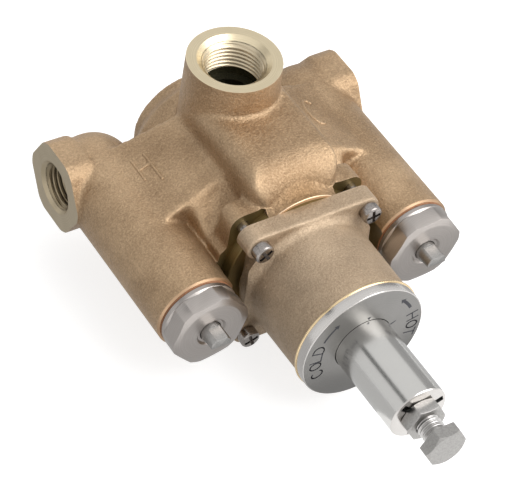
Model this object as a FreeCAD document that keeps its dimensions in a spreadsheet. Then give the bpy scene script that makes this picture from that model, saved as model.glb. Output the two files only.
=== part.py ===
"""Thermostatic mixing valve: cast body with two side inlets, a top outlet and two built-in stops,
and a bonnet at the front that carries the dial, the spindle and its stop screw.

Millimetres. +Z is up, +Y is the back, and the front with its dial faces -Y. The origin is the centre
of the outlet's thread at its upper end, at the foot of the mouth's chamfer. Every height below is
measured from the cartridge axis, which runs along Y under the outlet, and place() lowers each piece
by the same rise. Every depth counts from the outlet's axis."""
import FreeCAD, Part
import math
import os
import re
import Sketcher

from FreeCAD import Rotation, Vector

SIZES = {
    # Outlet on top, for 3/4 inch pipe
    "outlet_rise": 53.6,
    "outlet_radius": 18.2,
    "outlet_flare": 1.2,
    "outlet_thread_radius": 12.1,
    "outlet_thread_depth": 17.6,
    "outlet_chamfer": 2.1,
    "outlet_passage_radius": 8.4,
    # Inlets at the sides, for 1/2 inch pipe
    "inlet_reach": 64.3,
    "inlet_back": 14.4,
    "inlet_flats": 33.2,
    "inlet_round_radius": 18.0,
    "inlet_neck_radius": 16.0,
    "inlet_hexagon_length": 10.6,
    "inlet_thread_radius": 9.2,
    "inlet_thread_depth": 9.0,
    "inlet_chamfer": 1.6,
    # Stop barrels, one behind each inlet
    "barrel_offset": 47.3,
    "barrel_radius": 16.2,
    "barrel_reach": 63.5,
    "barrel_thread_radius": 12.5,
    "barrel_thread_depth": 13.5,
    "barrel_bore_radius": 11.5,
    "stop_seat_radius": 7.6,
    "inlet_throat_radius": 7.3,
    "stop_seat_front": 3.0,
    "barrel_back_bore": 23.0,
    # Central housing of the cartridge
    "housing_radius": 27.0,
    "housing_back": 19.0,
    "shoulder_length": 5.0,
    "back_boss_radius": 22.8,
    "back_boss_reach": 28.0,
    "back_wall": 5.0,
    "seat_radius": 30.0,
    "seat_reach": 55.7,
    "facing_depth": 4.7,
    "facing_radius": 33.6,
    "liner_bore_radius": 18.0,
    "liner_bore_back": 9.7,
    "mixing_radius": 16.0,
    "spigot_bore_radius": 21.0,
    "spigot_bore_depth": 4.2,
    # Raised chest in front of the outlet, and the webs out to the barrels
    "chest_width": 37.0,
    "chest_height": 41.0,
    "chest_reach": 52.0,
    "chest_front_round": 10.0,
    "chest_corner_round": 6.0,
    "chest_side_round": 4.0,
    "web_height": 27.0,
    "web_end_height": 15.6,
    "web_front": 31.0,
    "web_back": 11.0,
    "web_slope": 4.0,
    "web_below": 12.0,
    "boss_reach": 42.0,
    "shelf_width": 63.0,
    "shelf_height": 10.0,
    # Flange of the bonnet and its screws
    "flange_thickness": 7.8,
    "ear_spacing_across": 46.8,
    "ear_spacing_up": 46.0,
    "ear_radius": 5.2,
    "screw_radius": 2.4,
    "screw_length": 17.0,
    "screw_grip_back": 12.0,
    "screw_head_radius": 3.9,
    "screw_head_height": 4.2,
    "screw_head_dome": 0.8,
    "driver_slot_width": 1.1,
    "driver_slot_depth": 1.9,
    "driver_slot_length": 5.4,
    # Bonnet
    "bonnet_radius": 25.6,
    "bonnet_front_radius": 25.1,
    "bonnet_length": 42.3,
    "bonnet_wall_front": 10.0,
    "bonnet_bore_radius": 17.0,
    "spigot_radius": 20.9,
    "spigot_length": 3.2,
    "rim_radius": 26.1,
    "rim_thickness": 0.8,
    "keyway_width": 5.4,
    "keyway_radius": 19.2,
    # Dial
    "dial_radius": 25.7,
    "dial_thickness": 4.2,
    "dial_bore_radius": 12.1,
    "dial_chamfer": 0.35,
    "dial_spigot_radius": 16.0,
    "dial_spigot_length": 2.0,
    # Spindle and its sleeve
    "sleeve_radius": 11.7,
    "sleeve_length": 50.9,
    "sleeve_wall": 3.7,
    "sleeve_chamfer": 0.5,
    "sleeve_slot_width": 2.6,
    "sleeve_slot_depth": 3.2,
    "sleeve_slot_inner": 6.6,
    "sleeve_slot_outer": 10.4,
    "spindle_recess": 0.3,
    "spindle_collar_radius": 15.0,
    "spindle_collar_thickness": 4.0,
    "spindle_tail_length": 18.0,
    "pin_bore_radius": 3.05,
    "pin_bore_length": 41.5,
    # Stop screw, 3/8 inch, with its lock nut
    "stop_screw_radius": 4.75,
    "stop_screw_grip": 26.0,
    "stop_screw_neck": 7.6,
    "stop_head_flats": 15.0,
    "stop_head_height": 4.9,
    "nut_flats": 14.4,
    "nut_thickness": 5.6,
    "thrust_pin_radius": 3.0,
    "thrust_pin_length": 45.5,
    # Drive nut, thermostat, shuttle and liner
    "drive_radius": 12.0,
    "drive_length": 8.0,
    "drive_skirt_radius": 10.0,
    "drive_skirt_length": 10.0,
    "drive_floor": 2.2,
    "drive_gap": 8.4,
    "key_width": 5.0,
    "key_radius": 18.6,
    "stem_radius": 3.0,
    "capsule_radius": 8.0,
    "capsule_front": 7.0,
    "capsule_length": 15.0,
    "liner_radius": 17.95,
    "liner_wall": 3.9,
    "liner_waist": 1.4,
    "liner_front": 52.2,
    "liner_port_radius": 2.6,
    "liner_port_count": 6,
    "hot_port_depth": 31.0,
    "cold_port_depth": 16.4,
    "port_band": 8.0,
    "transfer_radius": 5.6,
    "shuttle_wall": 2.6,
    "shuttle_web": 3.0,
    "shuttle_hub_radius": 5.0,
    "shuttle_window_radius": 2.0,
    "shuttle_window_circle": 7.8,
    "liner_ring_section": 0.9,
    "spring_radius": 6.0,
    "spring_wire": 0.7,
    "spring_turns": 4,
    # Stop caps and stems
    "cap_flats": 29.1,
    "cap_round_radius": 15.65,
    "cap_hexagon_length": 7.5,
    "cap_face_radius": 12.6,
    "cap_face_slope": 0.65,
    "cap_collar_radius": 15.3,
    "cap_collar_length": 2.4,
    "cap_skirt_radius": 11.3,
    "cap_skirt_wall": 3.2,
    "cap_skirt_length": 13.0,
    "cap_slot_width": 4.4,
    "hot_cap_turn": 12.0,
    "cold_cap_turn": 4.3,
    "cap_gasket_thickness": 0.6,
    "cap_recess_radius": 5.9,
    "cap_recess_depth": 0.7,
    "stop_stem_radius": 4.15,
    "stop_stem_stand": 7.1,
    "stop_stem_flat": 3.85,
    "stop_stem_step": 0.3,
    "stop_stem_flat_length": 6.4,
    "stop_stem_collar_radius": 6.6,
    "stop_stem_collar_length": 3.6,
    "stop_stem_screw_radius": 4.5,
    "stop_stem_screw_length": 30.0,
    "piston_radius": 7.0,
    "piston_foot_radius": 9.5,
    "piston_foot_length": 3.4,
    "piston_open_gap": 7.8,
    "piston_length": 35.0,
    "piston_bore_length": 27.0,
    "piston_key_radius": 10.8,
    "piston_key_width": 4.0,
    "piston_key_length": 3.0,
    "washer_thickness": 2.4,
    "washer_rivet_radius": 2.5,
    "strainer_radius": 11.0,
    "strainer_wall": 0.7,
    "strainer_slot_width": 3.4,
    "strainer_slot_count": 8,
    "strainer_rim": 4.0,
    # Seals and gaps
    "seal_section": 1.0,
    "thread_chamfer": 0.6,
    "retaining_ring_thickness": 1.5,
    "retaining_ring_radius": 18.0,
    "retaining_ring_bore": 12.0,
    "running_gap": 0.05,
    "seat_gap": 0.1,
}

# Stations along the cartridge axis, from the front to the back
SEAT = "-seat_reach"
FACING = f"({SEAT} + facing_depth)"
FLANGE_FRONT = f"({SEAT} - flange_thickness)"
BONNET_END = f"({SEAT} - bonnet_length)"
DIAL_FACE = f"({BONNET_END} - dial_thickness)"
COLLAR_FRONT = f"({BONNET_END} + bonnet_wall_front + seat_gap)"
COLLAR_BACK = f"({COLLAR_FRONT} + spindle_collar_thickness)"
RING_FRONT = f"({COLLAR_BACK} + seat_gap)"
SLEEVE_END = f"({COLLAR_FRONT} - sleeve_length)"
NUT_BACK = f"({SLEEVE_END} - seat_gap)"
NUT_FRONT = f"({NUT_BACK} - nut_thickness)"
HEAD_BACK = f"({NUT_FRONT} - stop_screw_neck)"
SPINDLE_END = f"({COLLAR_BACK} + spindle_tail_length)"
SCREW_TIP = f"({SLEEVE_END} + stop_screw_grip)"
PIN_BACK = f"({SCREW_TIP} + seat_gap + thrust_pin_length)"
DRIVE_FLOOR = f"({PIN_BACK} + drive_gap)"
DRIVE_BACK = f"({DRIVE_FLOOR} + drive_floor)"
DRIVE_FRONT = f"({DRIVE_BACK} - drive_skirt_length - drive_length)"
CAPSULE_FRONT = "(-capsule_front)"
CAPSULE_BACK = f"({CAPSULE_FRONT} + capsule_length)"
CHAMBER_BACK = "(back_boss_reach - back_wall)"
BARREL_FRONT = "-barrel_reach"
CAP_SEAT = f"({BARREL_FRONT} - cap_gasket_thickness)"
CAP_HEX_BACK = f"({CAP_SEAT} - cap_collar_length)"
CAP_FACE = f"({CAP_HEX_BACK} - cap_hexagon_length)"
CAP_THREAD_BACK = f"({BARREL_FRONT} + barrel_thread_depth)"
SKIRT_BACK = f"({CAP_THREAD_BACK} + cap_skirt_length)"
STOP_SEAT = "-stop_seat_front"
WASHER_BACK = f"({STOP_SEAT} - piston_open_gap)"
WASHER_FRONT = f"({WASHER_BACK} - washer_thickness)"
PISTON_FRONT = f"({WASHER_FRONT} - piston_length)"
STEM_COLLAR_FRONT = f"({CAP_SEAT} + 2*seal_section + seat_gap)"
STEM_COLLAR_BACK = f"({STEM_COLLAR_FRONT} + stop_stem_collar_length)"

SIDES = {"hot": "-", "cold": ""}

ALONG_X = Rotation(Vector(0, 1, 0), 90)
ALONG_Y = Rotation(Vector(1, 0, 0), -90)
ALONG_Z = Rotation()
CORNERS_FRONT = Rotation(Vector(1, 1, 1), 120)

doc = FreeCAD.newDocument("mixing_valve")
sheet = doc.addObject("Spreadsheet::Sheet", "sizes")
for row, (size_name, size) in enumerate(SIZES.items(), start=1):
    sheet.set(f"A{row}", size_name)
    sheet.set(f"B{row}", str(size))
    sheet.setAlias(f"B{row}", size_name)
doc.recompute()

parts = {}


def rule(text):
    """A rule over sizes, such as "seat_reach + facing_depth", as the sheet's own expression."""
    return re.sub(r"[a-z_]+", lambda word: f"sizes.{word[0]}" if word[0] in SIZES else word[0], text)


def place(item, rotation, x="0", y="0", z="0"):
    """Puts an item at x across, y back and z above the cartridge axis."""
    item.Placement = FreeCAD.Placement(Vector(), rotation)
    item.setExpression("Placement.Base.x", rule(x))
    item.setExpression("Placement.Base.y", rule(y))
    item.setExpression("Placement.Base.z", rule(f"{z} - outlet_rise + outlet_chamfer"))
    return item


def primitive(kind, name, **properties):
    """A Part primitive with each property bound to a rule."""
    item = doc.addObject(f"Part::{kind}", name)
    for key, text in properties.items():
        item.setExpression(key, rule(text))
    return item


def rod(name, radius, front, back, x="0", z="0"):
    """A cylinder along the cartridge axis."""
    item = primitive("Cylinder", name, Radius=radius, Height=f"({back}) - ({front})")
    return place(item, ALONG_Y, x, front, z)


def post(name, radius, low, high, y="0"):
    """An upright cylinder."""
    item = primitive("Cylinder", name, Radius=radius, Height=f"({high}) - ({low})")
    return place(item, ALONG_Z, "0", y, low)


def spur(name, radius, left, right, y):
    """A cylinder across the valve."""
    item = primitive("Cylinder", name, Radius=radius, Height=f"({right}) - ({left})")
    return place(item, ALONG_X, left, y)


def block(name, width, depth, height, x, front, low):
    """A box centred across on x, from its front depth and its low height."""
    item = primitive("Box", name, Length=width, Width=depth, Height=height)
    return place(item, ALONG_Z, f"{x} - ({width})/2", front, low)


def hexagon(name, flats, front, back, x="0"):
    """A hexagonal bar along the cartridge axis with flats on top and below."""
    item = primitive("Prism", name, Circumradius=f"({flats}) / sqrt(3)", Height=f"({back}) - ({front})")
    item.Polygon = 6
    return place(item, ALONG_Y, x, front)


def turned_hexagon(name, flats, front, back, x, turn):
    """A hexagonal bar along the cartridge axis, turned about it by the named angle."""
    item = primitive("Prism", f"{name}_straight", Circumradius=f"({flats}) / sqrt(3)",
                     Height=f"({back}) - ({front})")
    item.Polygon = 6
    item.Placement = FreeCAD.Placement(Vector(), ALONG_Y)
    holder = place(group(name, item), Rotation(Vector(0, -1, 0), 10), x, front)
    holder.setExpression("Placement.Rotation.Angle", rule(turn))
    return holder


def turned(name, profile, front, x="0", z="0", rotation=ALONG_Z):
    """A turned piece: its closed half section, as (distance behind the front end, radius) rules,
    revolved about the axis along Y."""
    body = doc.addObject("PartDesign::Body", name)
    plane = next(item for item in body.Origin.OriginFeatures if item.Role == "XY_Plane")
    sketch = body.newObject("Sketcher::SketchObject", f"{name}_section")
    sketch.AttachmentSupport = (plane, [""])
    sketch.MapMode = "FlatFace"
    count = len(profile)
    around = [2 * math.pi * step / count for step in range(count)]
    start = [Vector(20 + 10 * math.cos(angle), 20 + 10 * math.sin(angle), 0) for angle in around]
    for step in range(count):
        sketch.addGeometry(Part.LineSegment(start[step], start[(step + 1) % count]), False)
    for step in range(count):
        sketch.addConstraint(Sketcher.Constraint("Coincident", step, 2, (step + 1) % count, 1))
    for step, (along, radius) in enumerate(profile):
        for kind, axis, text in (("DistanceX", -2, radius), ("DistanceY", -1, along)):
            if text == "0":
                sketch.addConstraint(Sketcher.Constraint("PointOnObject", step, 1, axis))
                continue
            index = sketch.addConstraint(Sketcher.Constraint(kind, -1, 1, step, 1, 10.0))
            sketch.setExpression(f"Constraints[{index}]", rule(text))
    turning = body.newObject("PartDesign::Revolution", f"{name}_turning")
    turning.Profile = (sketch, [""])
    turning.ReferenceAxis = (sketch, ["V_Axis"])
    turning.Angle = 360
    return place(body, rotation, x, front, z)


def ring(name, inner, outer, front, back, x="0"):
    """A flat-sided ring about an axis along Y."""
    length = f"({back}) - ({front})"
    return turned(name, [("0", inner), ("0", outer), (length, outer), (length, inner)], front, x)


def o_ring(name, inner, section, middle, x="0"):
    """A round-section ring about an axis along Y."""
    item = primitive("Torus", name, Radius1=f"{inner} + {section}", Radius2=section)
    return place(item, ALONG_Y, x, middle)


def fuse(name, *items):
    item = doc.addObject("Part::MultiFuse", name)
    item.Shapes = list(items)
    return item


def common(name, *items):
    item = doc.addObject("Part::MultiCommon", name)
    item.Shapes = list(items)
    return item


def group(name, *items):
    """Separate solids kept together as one sub-part."""
    item = doc.addObject("Part::Compound", name)
    item.Links = list(items)
    return item


def cut(name, item, *tools):
    result = doc.addObject("Part::Cut", name)
    result.Base = item
    result.Tool = tools[0] if len(tools) == 1 else fuse(f"{name}_tools", *tools)
    return result


def keep(node, item):
    """Marks a finished sub-part and gives it the node's name."""
    item.Label = node
    parts[node] = item


def radial_rod(name, radius, length, y, angle, x="0"):
    """A cylinder that points out from an axis along Y at an angle above +X."""
    item = primitive("Cylinder", name, Radius=radius, Height=length)
    return place(item, Rotation(Vector(0, 1, 0), 90 - angle), x, y)


def radial_block(name, width, inner, outer, front, length, angle, x="0"):
    """A box that points out from an axis along Y at an angle above +X."""
    item = primitive("Box", name, Length=f"{outer} - {inner}", Width=length, Height=width)
    item.Placement = FreeCAD.Placement(Vector(), Rotation(Vector(0, 1, 0), -angle))
    turn = math.radians(angle)
    across, up = round(math.cos(turn), 9), round(math.sin(turn), 9)
    item.setExpression("Placement.Base.x", rule(f"{x} + ({inner})*{across} + ({width})/2*{up}"))
    item.setExpression("Placement.Base.y", rule(front))
    item.setExpression("Placement.Base.z", rule(
        f"({inner})*{up} - ({width})/2*{across} - outlet_rise + outlet_chamfer"))
    return item


def screw_places():
    """The four flange screws, as (name, x, z) with x across and z up."""
    for up_name, up in (("upper", ""), ("lower", "-")):
        for side, sign in SIDES.items():
            yield f"{up_name}_{side}", f"{sign}ear_spacing_across/2", f"{up}ear_spacing_up/2"


def chest():
    """Raised block in front of the outlet, with a rounded front and rounded upper edges."""
    blank = block("chest_blank", "chest_width", "chest_reach", "chest_height", "0", "-chest_reach", "0")
    doc.recompute()
    front_round, side_round = sheet.get("chest_front_round"), sheet.get("chest_side_round")
    corner_round = sheet.get("chest_corner_round")
    top = blank.Shape.BoundBox.ZMax
    front = blank.Shape.BoundBox.YMin
    rounds = []
    for number, edge in enumerate(blank.Shape.Edges, start=1):
        middle = edge.CenterOfMass
        if abs(edge.BoundBox.ZLength) > 1 and abs(middle.y - front) < 1e-6:
            rounds.append((number, corner_round, corner_round))
        if abs(middle.z - top) > 1e-6:
            continue
        if abs(middle.y - front) < 1e-6:
            rounds.append((number, front_round, front_round))
        elif abs(edge.BoundBox.YLength) > 1:
            rounds.append((number, side_round, side_round))
    item = doc.addObject("Part::Fillet", "chest_rounded")
    item.Base = blank
    item.Edges = rounds
    return item


def webs():
    """Sloping shoulders from the chest down to the tops of the barrels, and the plate below them."""
    slope = primitive(
        "Wedge", "web_slope_block",
        Xmin="-barrel_offset", Xmax="barrel_offset",
        Ymin="0", Ymax="web_height - web_end_height",
        Zmin="-web_back", Zmax="web_front",
        X2min="-chest_width/2", X2max="chest_width/2",
        Z2min="-web_back + web_slope", Z2max="web_front - web_slope")
    place(slope, Rotation(Vector(1, 0, 0), 90), z="web_end_height")
    plate = block(
        "web_plate", "2*barrel_offset", "web_front + web_back", "web_end_height + web_below",
        "0", "-web_front", "-web_below")
    return [slope, plate]


def screw_bosses():
    """Rounded-corner block behind the flange that takes its four screws."""
    front, depth = FACING, f"-boss_reach - {FACING}"
    wide = block(
        "boss_wide", "ear_spacing_across + 2*ear_radius", depth, "ear_spacing_up",
        "0", front, "-ear_spacing_up/2")
    tall = block(
        "boss_tall", "ear_spacing_across", depth, "ear_spacing_up + 2*ear_radius",
        "0", front, "-ear_spacing_up/2 - ear_radius")
    corners = [
        rod(f"boss_{name}", "ear_radius", front, "-boss_reach", x, z) for name, x, z in screw_places()]
    shelf = block(
        "boss_shelf", "shelf_width", f"-web_front - {FACING}", "2*shelf_height", "0", front, "-shelf_height")
    return [wide, tall, shelf, *corners]


def body_side(side, sign):
    """One inlet with its stop barrel, on the side that the sign gives."""
    x = f"{sign}barrel_offset"
    barrel = rod(f"{side}_barrel", "barrel_radius", BARREL_FRONT, "inlet_back", x)
    dome = primitive("Sphere", f"{side}_barrel_dome", Radius="barrel_radius")
    place(dome, ALONG_Z, x, "inlet_back")
    left, right = ("barrel_offset", "inlet_reach") if sign == "" else ("-inlet_reach", "-barrel_offset")
    start = "inlet_reach - inlet_hexagon_length" if sign == "" else left
    end = right if sign == "" else "-inlet_reach + inlet_hexagon_length"
    bar = primitive(
        "Prism", f"{side}_inlet_bar", Circumradius="inlet_flats / sqrt(3)", Height="inlet_hexagon_length")
    bar.Polygon = 6
    place(bar, CORNERS_FRONT, start, "inlet_back")
    round_bar = spur(f"{side}_inlet_round", "inlet_round_radius", start, end, "inlet_back")
    hexagon_end = common(f"{side}_inlet_hexagon", bar, round_bar)
    neck = spur(f"{side}_inlet_neck", "inlet_neck_radius", left, right, "inlet_back")
    return [barrel, dome, hexagon_end, neck]


def side_bores(side, sign, port_depth):
    """Waterways of one side: inlet, stop chamber, stop seat and the port to the cartridge."""
    x = f"{sign}barrel_offset"
    thread_end = "inlet_reach - inlet_thread_depth"
    spans = {
        "inlet_thread": ("inlet_thread_radius", thread_end, "inlet_reach"),
        "inlet_throat": ("inlet_throat_radius", "barrel_offset", thread_end),
        "transfer": ("transfer_radius", "liner_bore_radius - liner_wall/2", "barrel_offset"),
    }
    tools = []
    for name, (radius, near, far) in spans.items():
        left, right = (near, far) if sign == "" else (f"-({far})", f"-({near})")
        depth = f"-{port_depth}" if name == "transfer" else "inlet_back"
        tools.append(spur(f"{side}_{name}", radius, left, right, depth))
    mouth = primitive(
        "Cone", f"{side}_inlet_mouth", Radius1="inlet_thread_radius",
        Radius2="inlet_thread_radius + inlet_chamfer", Height="inlet_chamfer")
    tools.append(place(
        mouth, ALONG_X if sign == "" else Rotation(Vector(0, 1, 0), -90),
        f"{sign}(inlet_reach - inlet_chamfer)", "inlet_back"))
    tools += [
        rod(f"{side}_cap_thread", "barrel_thread_radius", BARREL_FRONT, CAP_THREAD_BACK, x),
        rod(f"{side}_stop_chamber", "barrel_bore_radius", BARREL_FRONT, STOP_SEAT, x),
        rod(f"{side}_seat_bore", "stop_seat_radius", BARREL_FRONT, "barrel_back_bore", x),
    ]
    return tools


def valve_body():
    """The bronze casting with all its machined faces and waterways."""
    housing = turned("housing", [
        ("0", "0"), ("0", "seat_radius"),
        (f"-({SEAT}) - web_front", "seat_radius"), (f"-({SEAT}) - web_front", "housing_radius"),
        (f"-({SEAT}) + housing_back", "housing_radius"),
        (f"-({SEAT}) + housing_back + shoulder_length", "back_boss_radius"),
        (f"-({SEAT}) + back_boss_reach - thread_chamfer", "back_boss_radius"),
        (f"-({SEAT}) + back_boss_reach", "back_boss_radius - thread_chamfer"),
        (f"-({SEAT}) + back_boss_reach", "0")], SEAT)
    collar = primitive(
        "Cone", "outlet_collar", Radius1="outlet_radius + outlet_flare", Radius2="outlet_radius",
        Height="outlet_rise")
    place(collar, ALONG_Z)
    outer = [fuse("casting_middle", housing, collar, chest(), *webs(), *screw_bosses())]
    for side, sign in SIDES.items():
        outer.append(fuse(f"{side}_casting_side", *body_side(side, sign)))
    casting = fuse("casting", *outer)
    facing = ring("facing_cut", "seat_radius", "facing_radius", f"{SEAT} - flange_thickness", FACING)
    bores = [
        rod("liner_bore", "liner_bore_radius", SEAT, "-liner_bore_back"),
        rod("spigot_bore", "spigot_bore_radius", SEAT, f"({SEAT} + spigot_bore_depth)"),
        rod("mixing_chamber", "mixing_radius", SEAT, CHAMBER_BACK),
        post("outlet_thread", "outlet_thread_radius", "outlet_rise - outlet_thread_depth", "outlet_rise"),
        post("outlet_passage", "outlet_passage_radius", "0", "outlet_rise"),
        facing,
    ]
    mouth = primitive(
        "Cone", "outlet_mouth", Radius1="outlet_thread_radius",
        Radius2="outlet_thread_radius + outlet_chamfer", Height="outlet_chamfer")
    bores.append(place(mouth, ALONG_Z, z="outlet_rise - outlet_chamfer"))
    bores += side_bores("hot", SIDES["hot"], "hot_port_depth")
    bores += side_bores("cold", SIDES["cold"], "cold_port_depth")
    bores += [
        rod(f"tapped_{name}", "screw_radius + running_gap", SEAT, f"({SEAT} + screw_grip_back)", x, z)
        for name, x, z in screw_places()]
    keep("valve_body", cut("valve_body_casting", casting, *bores))


def bonnet():
    """Bonnet: a slightly tapered cylinder with a four-eared flange and a stepped bore."""
    back = "bonnet_length"
    shell = turned("bonnet_shell", [
        ("0", "0"), ("0", "rim_radius"), ("rim_thickness", "rim_radius"),
        ("rim_thickness", "bonnet_front_radius"), (back, "bonnet_radius"), (back, "spigot_radius"),
        (f"{back} + spigot_length", "spigot_radius"), (f"{back} + spigot_length", "0")], BONNET_END)
    tall = block(
        "flange_tall", "ear_spacing_across", "flange_thickness", "ear_spacing_up + 2*ear_radius",
        "0", FLANGE_FRONT, "-ear_spacing_up/2 - ear_radius")
    ears = [rod(f"ear_{name}", "ear_radius", FLANGE_FRONT, SEAT, x, z) for name, x, z in screw_places()]
    ring_back = "bonnet_wall_front + 3*seat_gap + spindle_collar_thickness + retaining_ring_thickness"
    ring_front = "bonnet_wall_front + seat_gap + spindle_collar_thickness"
    groove_back = "(bonnet_wall_front - dial_spigot_length)/2 + dial_spigot_length + seal_section + seat_gap"
    groove_front = f"{groove_back} - 2*seal_section - 2*seat_gap"
    groove_radius = "sleeve_radius + 3*running_gap + 2*seal_section"
    inside = f"{back} + spigot_length"
    bore = turned("bonnet_bore", [
        ("0", "0"), ("0", "dial_spigot_radius + running_gap"),
        ("dial_spigot_length + seat_gap", "dial_spigot_radius + running_gap"),
        ("dial_spigot_length + seat_gap", "sleeve_radius + running_gap"),
        (groove_front, "sleeve_radius + running_gap"), (groove_front, groove_radius),
        (groove_back, groove_radius), (groove_back, "sleeve_radius + running_gap"),
        ("bonnet_wall_front", "sleeve_radius + running_gap"),
        ("bonnet_wall_front", "spindle_collar_radius + seat_gap"),
        (ring_front, "spindle_collar_radius + seat_gap"),
        (ring_front, "retaining_ring_radius + seat_gap"),
        (ring_back, "retaining_ring_radius + seat_gap"), (ring_back, "bonnet_bore_radius"),
        (inside, "bonnet_bore_radius"), (inside, "0")], BONNET_END)
    keyway_front = f"({DRIVE_FRONT} - keyway_width/2)"
    keyway = block(
        "bonnet_keyway", "2*keyway_radius", f"{SEAT} + spigot_length - {keyway_front}", "keyway_width",
        "0", keyway_front, "-keyway_width/2")
    holes = [
        rod(f"clear_{name}", "screw_radius + seat_gap", FLANGE_FRONT, SEAT, x, z)
        for name, x, z in screw_places()]
    outer = fuse("bonnet_outer", shell, tall, *ears)
    keep("bonnet", cut("bonnet_casting", outer, bore, keyway, *holes))
    keep("bonnet_gasket", ring(
        "gasket_ring", "liner_bore_radius + seat_gap", "spigot_bore_radius - running_gap",
        f"{SEAT} + spigot_length + running_gap", f"{SEAT} + spigot_bore_depth"))
    keep("spindle_seal", o_ring(
        "spindle_o_ring", "sleeve_radius + running_gap", "seal_section",
        f"{BONNET_END} + (bonnet_wall_front - dial_spigot_length)/2 + dial_spigot_length"))
    keep("retaining_ring", ring(
        "retaining_washer", "retaining_ring_bore", "retaining_ring_radius",
        RING_FRONT, f"({RING_FRONT} + retaining_ring_thickness)"))


def flange_screw(name, x, z):
    """One cheese-head screw with a cross slot."""
    head_front = "screw_head_height"
    profile = [
        ("0", "0"), ("0", "screw_head_radius - screw_head_dome"),
        ("screw_head_dome", "screw_head_radius"), (head_front, "screw_head_radius"),
        (head_front, "screw_radius"), (f"{head_front} + screw_length - thread_chamfer", "screw_radius"),
        (f"{head_front} + screw_length", "screw_radius - thread_chamfer"),
        (f"{head_front} + screw_length", "0")]
    front = f"({FLANGE_FRONT} - screw_head_height)"
    blank = turned(f"screw_{name}_blank", profile, front, x, z)
    slots = []
    for way, width, height in (
            ("across", "driver_slot_length", "driver_slot_width"),
            ("upright", "driver_slot_width", "driver_slot_length")):
        slots.append(block(
            f"screw_{name}_{way}", width, "driver_slot_depth", height, x, front, f"{z} - ({height})/2"))
    return cut(f"screw_{name}", blank, *slots)


def dial():
    """Dial plate with a locating spigot behind it."""
    back = "dial_thickness"
    keep("dial_plate", turned("dial", [
        ("0", "dial_bore_radius"), ("0", "dial_radius - dial_chamfer"), ("dial_chamfer", "dial_radius"),
        (back, "dial_radius"), (back, "dial_spigot_radius"),
        (f"{back} + dial_spigot_length", "dial_spigot_radius"),
        (f"{back} + dial_spigot_length", "dial_bore_radius")], DIAL_FACE))


def spindle():
    """Polished sleeve over the spindle, which has a collar and a threaded tail."""
    tube = turned("sleeve_tube", [
        ("0", "sleeve_radius - sleeve_wall"), ("0", "sleeve_radius - sleeve_chamfer"),
        ("sleeve_chamfer", "sleeve_radius"), ("sleeve_length", "sleeve_radius"),
        ("sleeve_length", "sleeve_radius - sleeve_wall")], SLEEVE_END)
    slots = [
        radial_block(
            f"sleeve_slot_{step}", "sleeve_slot_width", "sleeve_slot_inner", "sleeve_slot_outer",
            SLEEVE_END, "sleeve_slot_depth", 20 + 120 * step)
        for step in range(3)]
    keep("spindle_sleeve", cut("sleeve", tube, *slots))
    front = f"({SLEEVE_END} + spindle_recess)"
    collar = f"(sleeve_length - spindle_recess)"
    collar_back = f"({collar} + spindle_collar_thickness)"
    tail = f"({collar_back} + spindle_tail_length)"
    radius = "sleeve_radius - sleeve_wall - running_gap"
    screw_bore = "stop_screw_radius + running_gap"
    screw_depth = f"({tail} - pin_bore_length)"
    blank = turned("spindle_blank", [
        ("0", screw_bore), ("0", radius), (collar, radius), (collar, "spindle_collar_radius"),
        (collar_back, "spindle_collar_radius"), (collar_back, radius), (tail, radius),
        (tail, "pin_bore_radius"), (screw_depth, "pin_bore_radius"), (screw_depth, screw_bore)], front)
    keep("spindle", cut("spindle_slotted", blank, *[
        radial_block(
            f"spindle_slot_{step}", "sleeve_slot_width", "sleeve_slot_inner", "sleeve_slot_outer",
            SLEEVE_END, "sleeve_slot_depth", 20 + 120 * step)
        for step in range(3)]))


def bevelled_hexagon(name, flats, front, length):
    """A hexagon head or nut with its corners bevelled at the front."""
    corner = f"({flats}) / sqrt(3)"
    bevel = f"(({flats}) / sqrt(3) - ({flats}) / 2)"
    bar = hexagon(f"{name}_bar", flats, front, f"({front} + {length})")
    blank = turned(f"{name}_blank", [
        ("0", "0"), ("0", f"({flats}) / 2 - thread_chamfer/2"), (f"{bevel} * 0.6", corner),
        (length, corner), (length, "0")], front)
    head = common(f"{name}_hexagon", bar, blank)
    return head


def stop_screw():
    """Stop screw with its lock nut, and the pin that it pushes."""
    head_front = f"({HEAD_BACK} - stop_head_height)"
    head = bevelled_hexagon("stop_head", "stop_head_flats", head_front, "stop_head_height")
    tip = f"({SCREW_TIP} - {HEAD_BACK})"
    shank = turned("stop_shank", [
        ("0", "0"), ("0", "stop_screw_radius"), (f"{tip} - thread_chamfer", "stop_screw_radius"),
        (tip, "stop_screw_radius - thread_chamfer"), (tip, "0")], HEAD_BACK)
    keep("stop_screw", fuse("stop_screw_whole", head, shank))
    nut = bevelled_hexagon("lock_nut_blank", "nut_flats", NUT_FRONT, "nut_thickness")
    bore = rod("nut_bore", "stop_screw_radius + running_gap", NUT_FRONT, NUT_BACK)
    keep("lock_nut", cut("nut", nut, bore))
    pin = "thrust_pin_length"
    chamfer = "thread_chamfer"
    keep("thrust_pin", turned("pin", [
        ("0", "0"), ("0", f"thrust_pin_radius - {chamfer}"), (chamfer, "thrust_pin_radius"),
        (f"{pin} - {chamfer}", "thrust_pin_radius"), (pin, f"thrust_pin_radius - {chamfer}"),
        (pin, "0")], f"({SCREW_TIP} + seat_gap)"))


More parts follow.
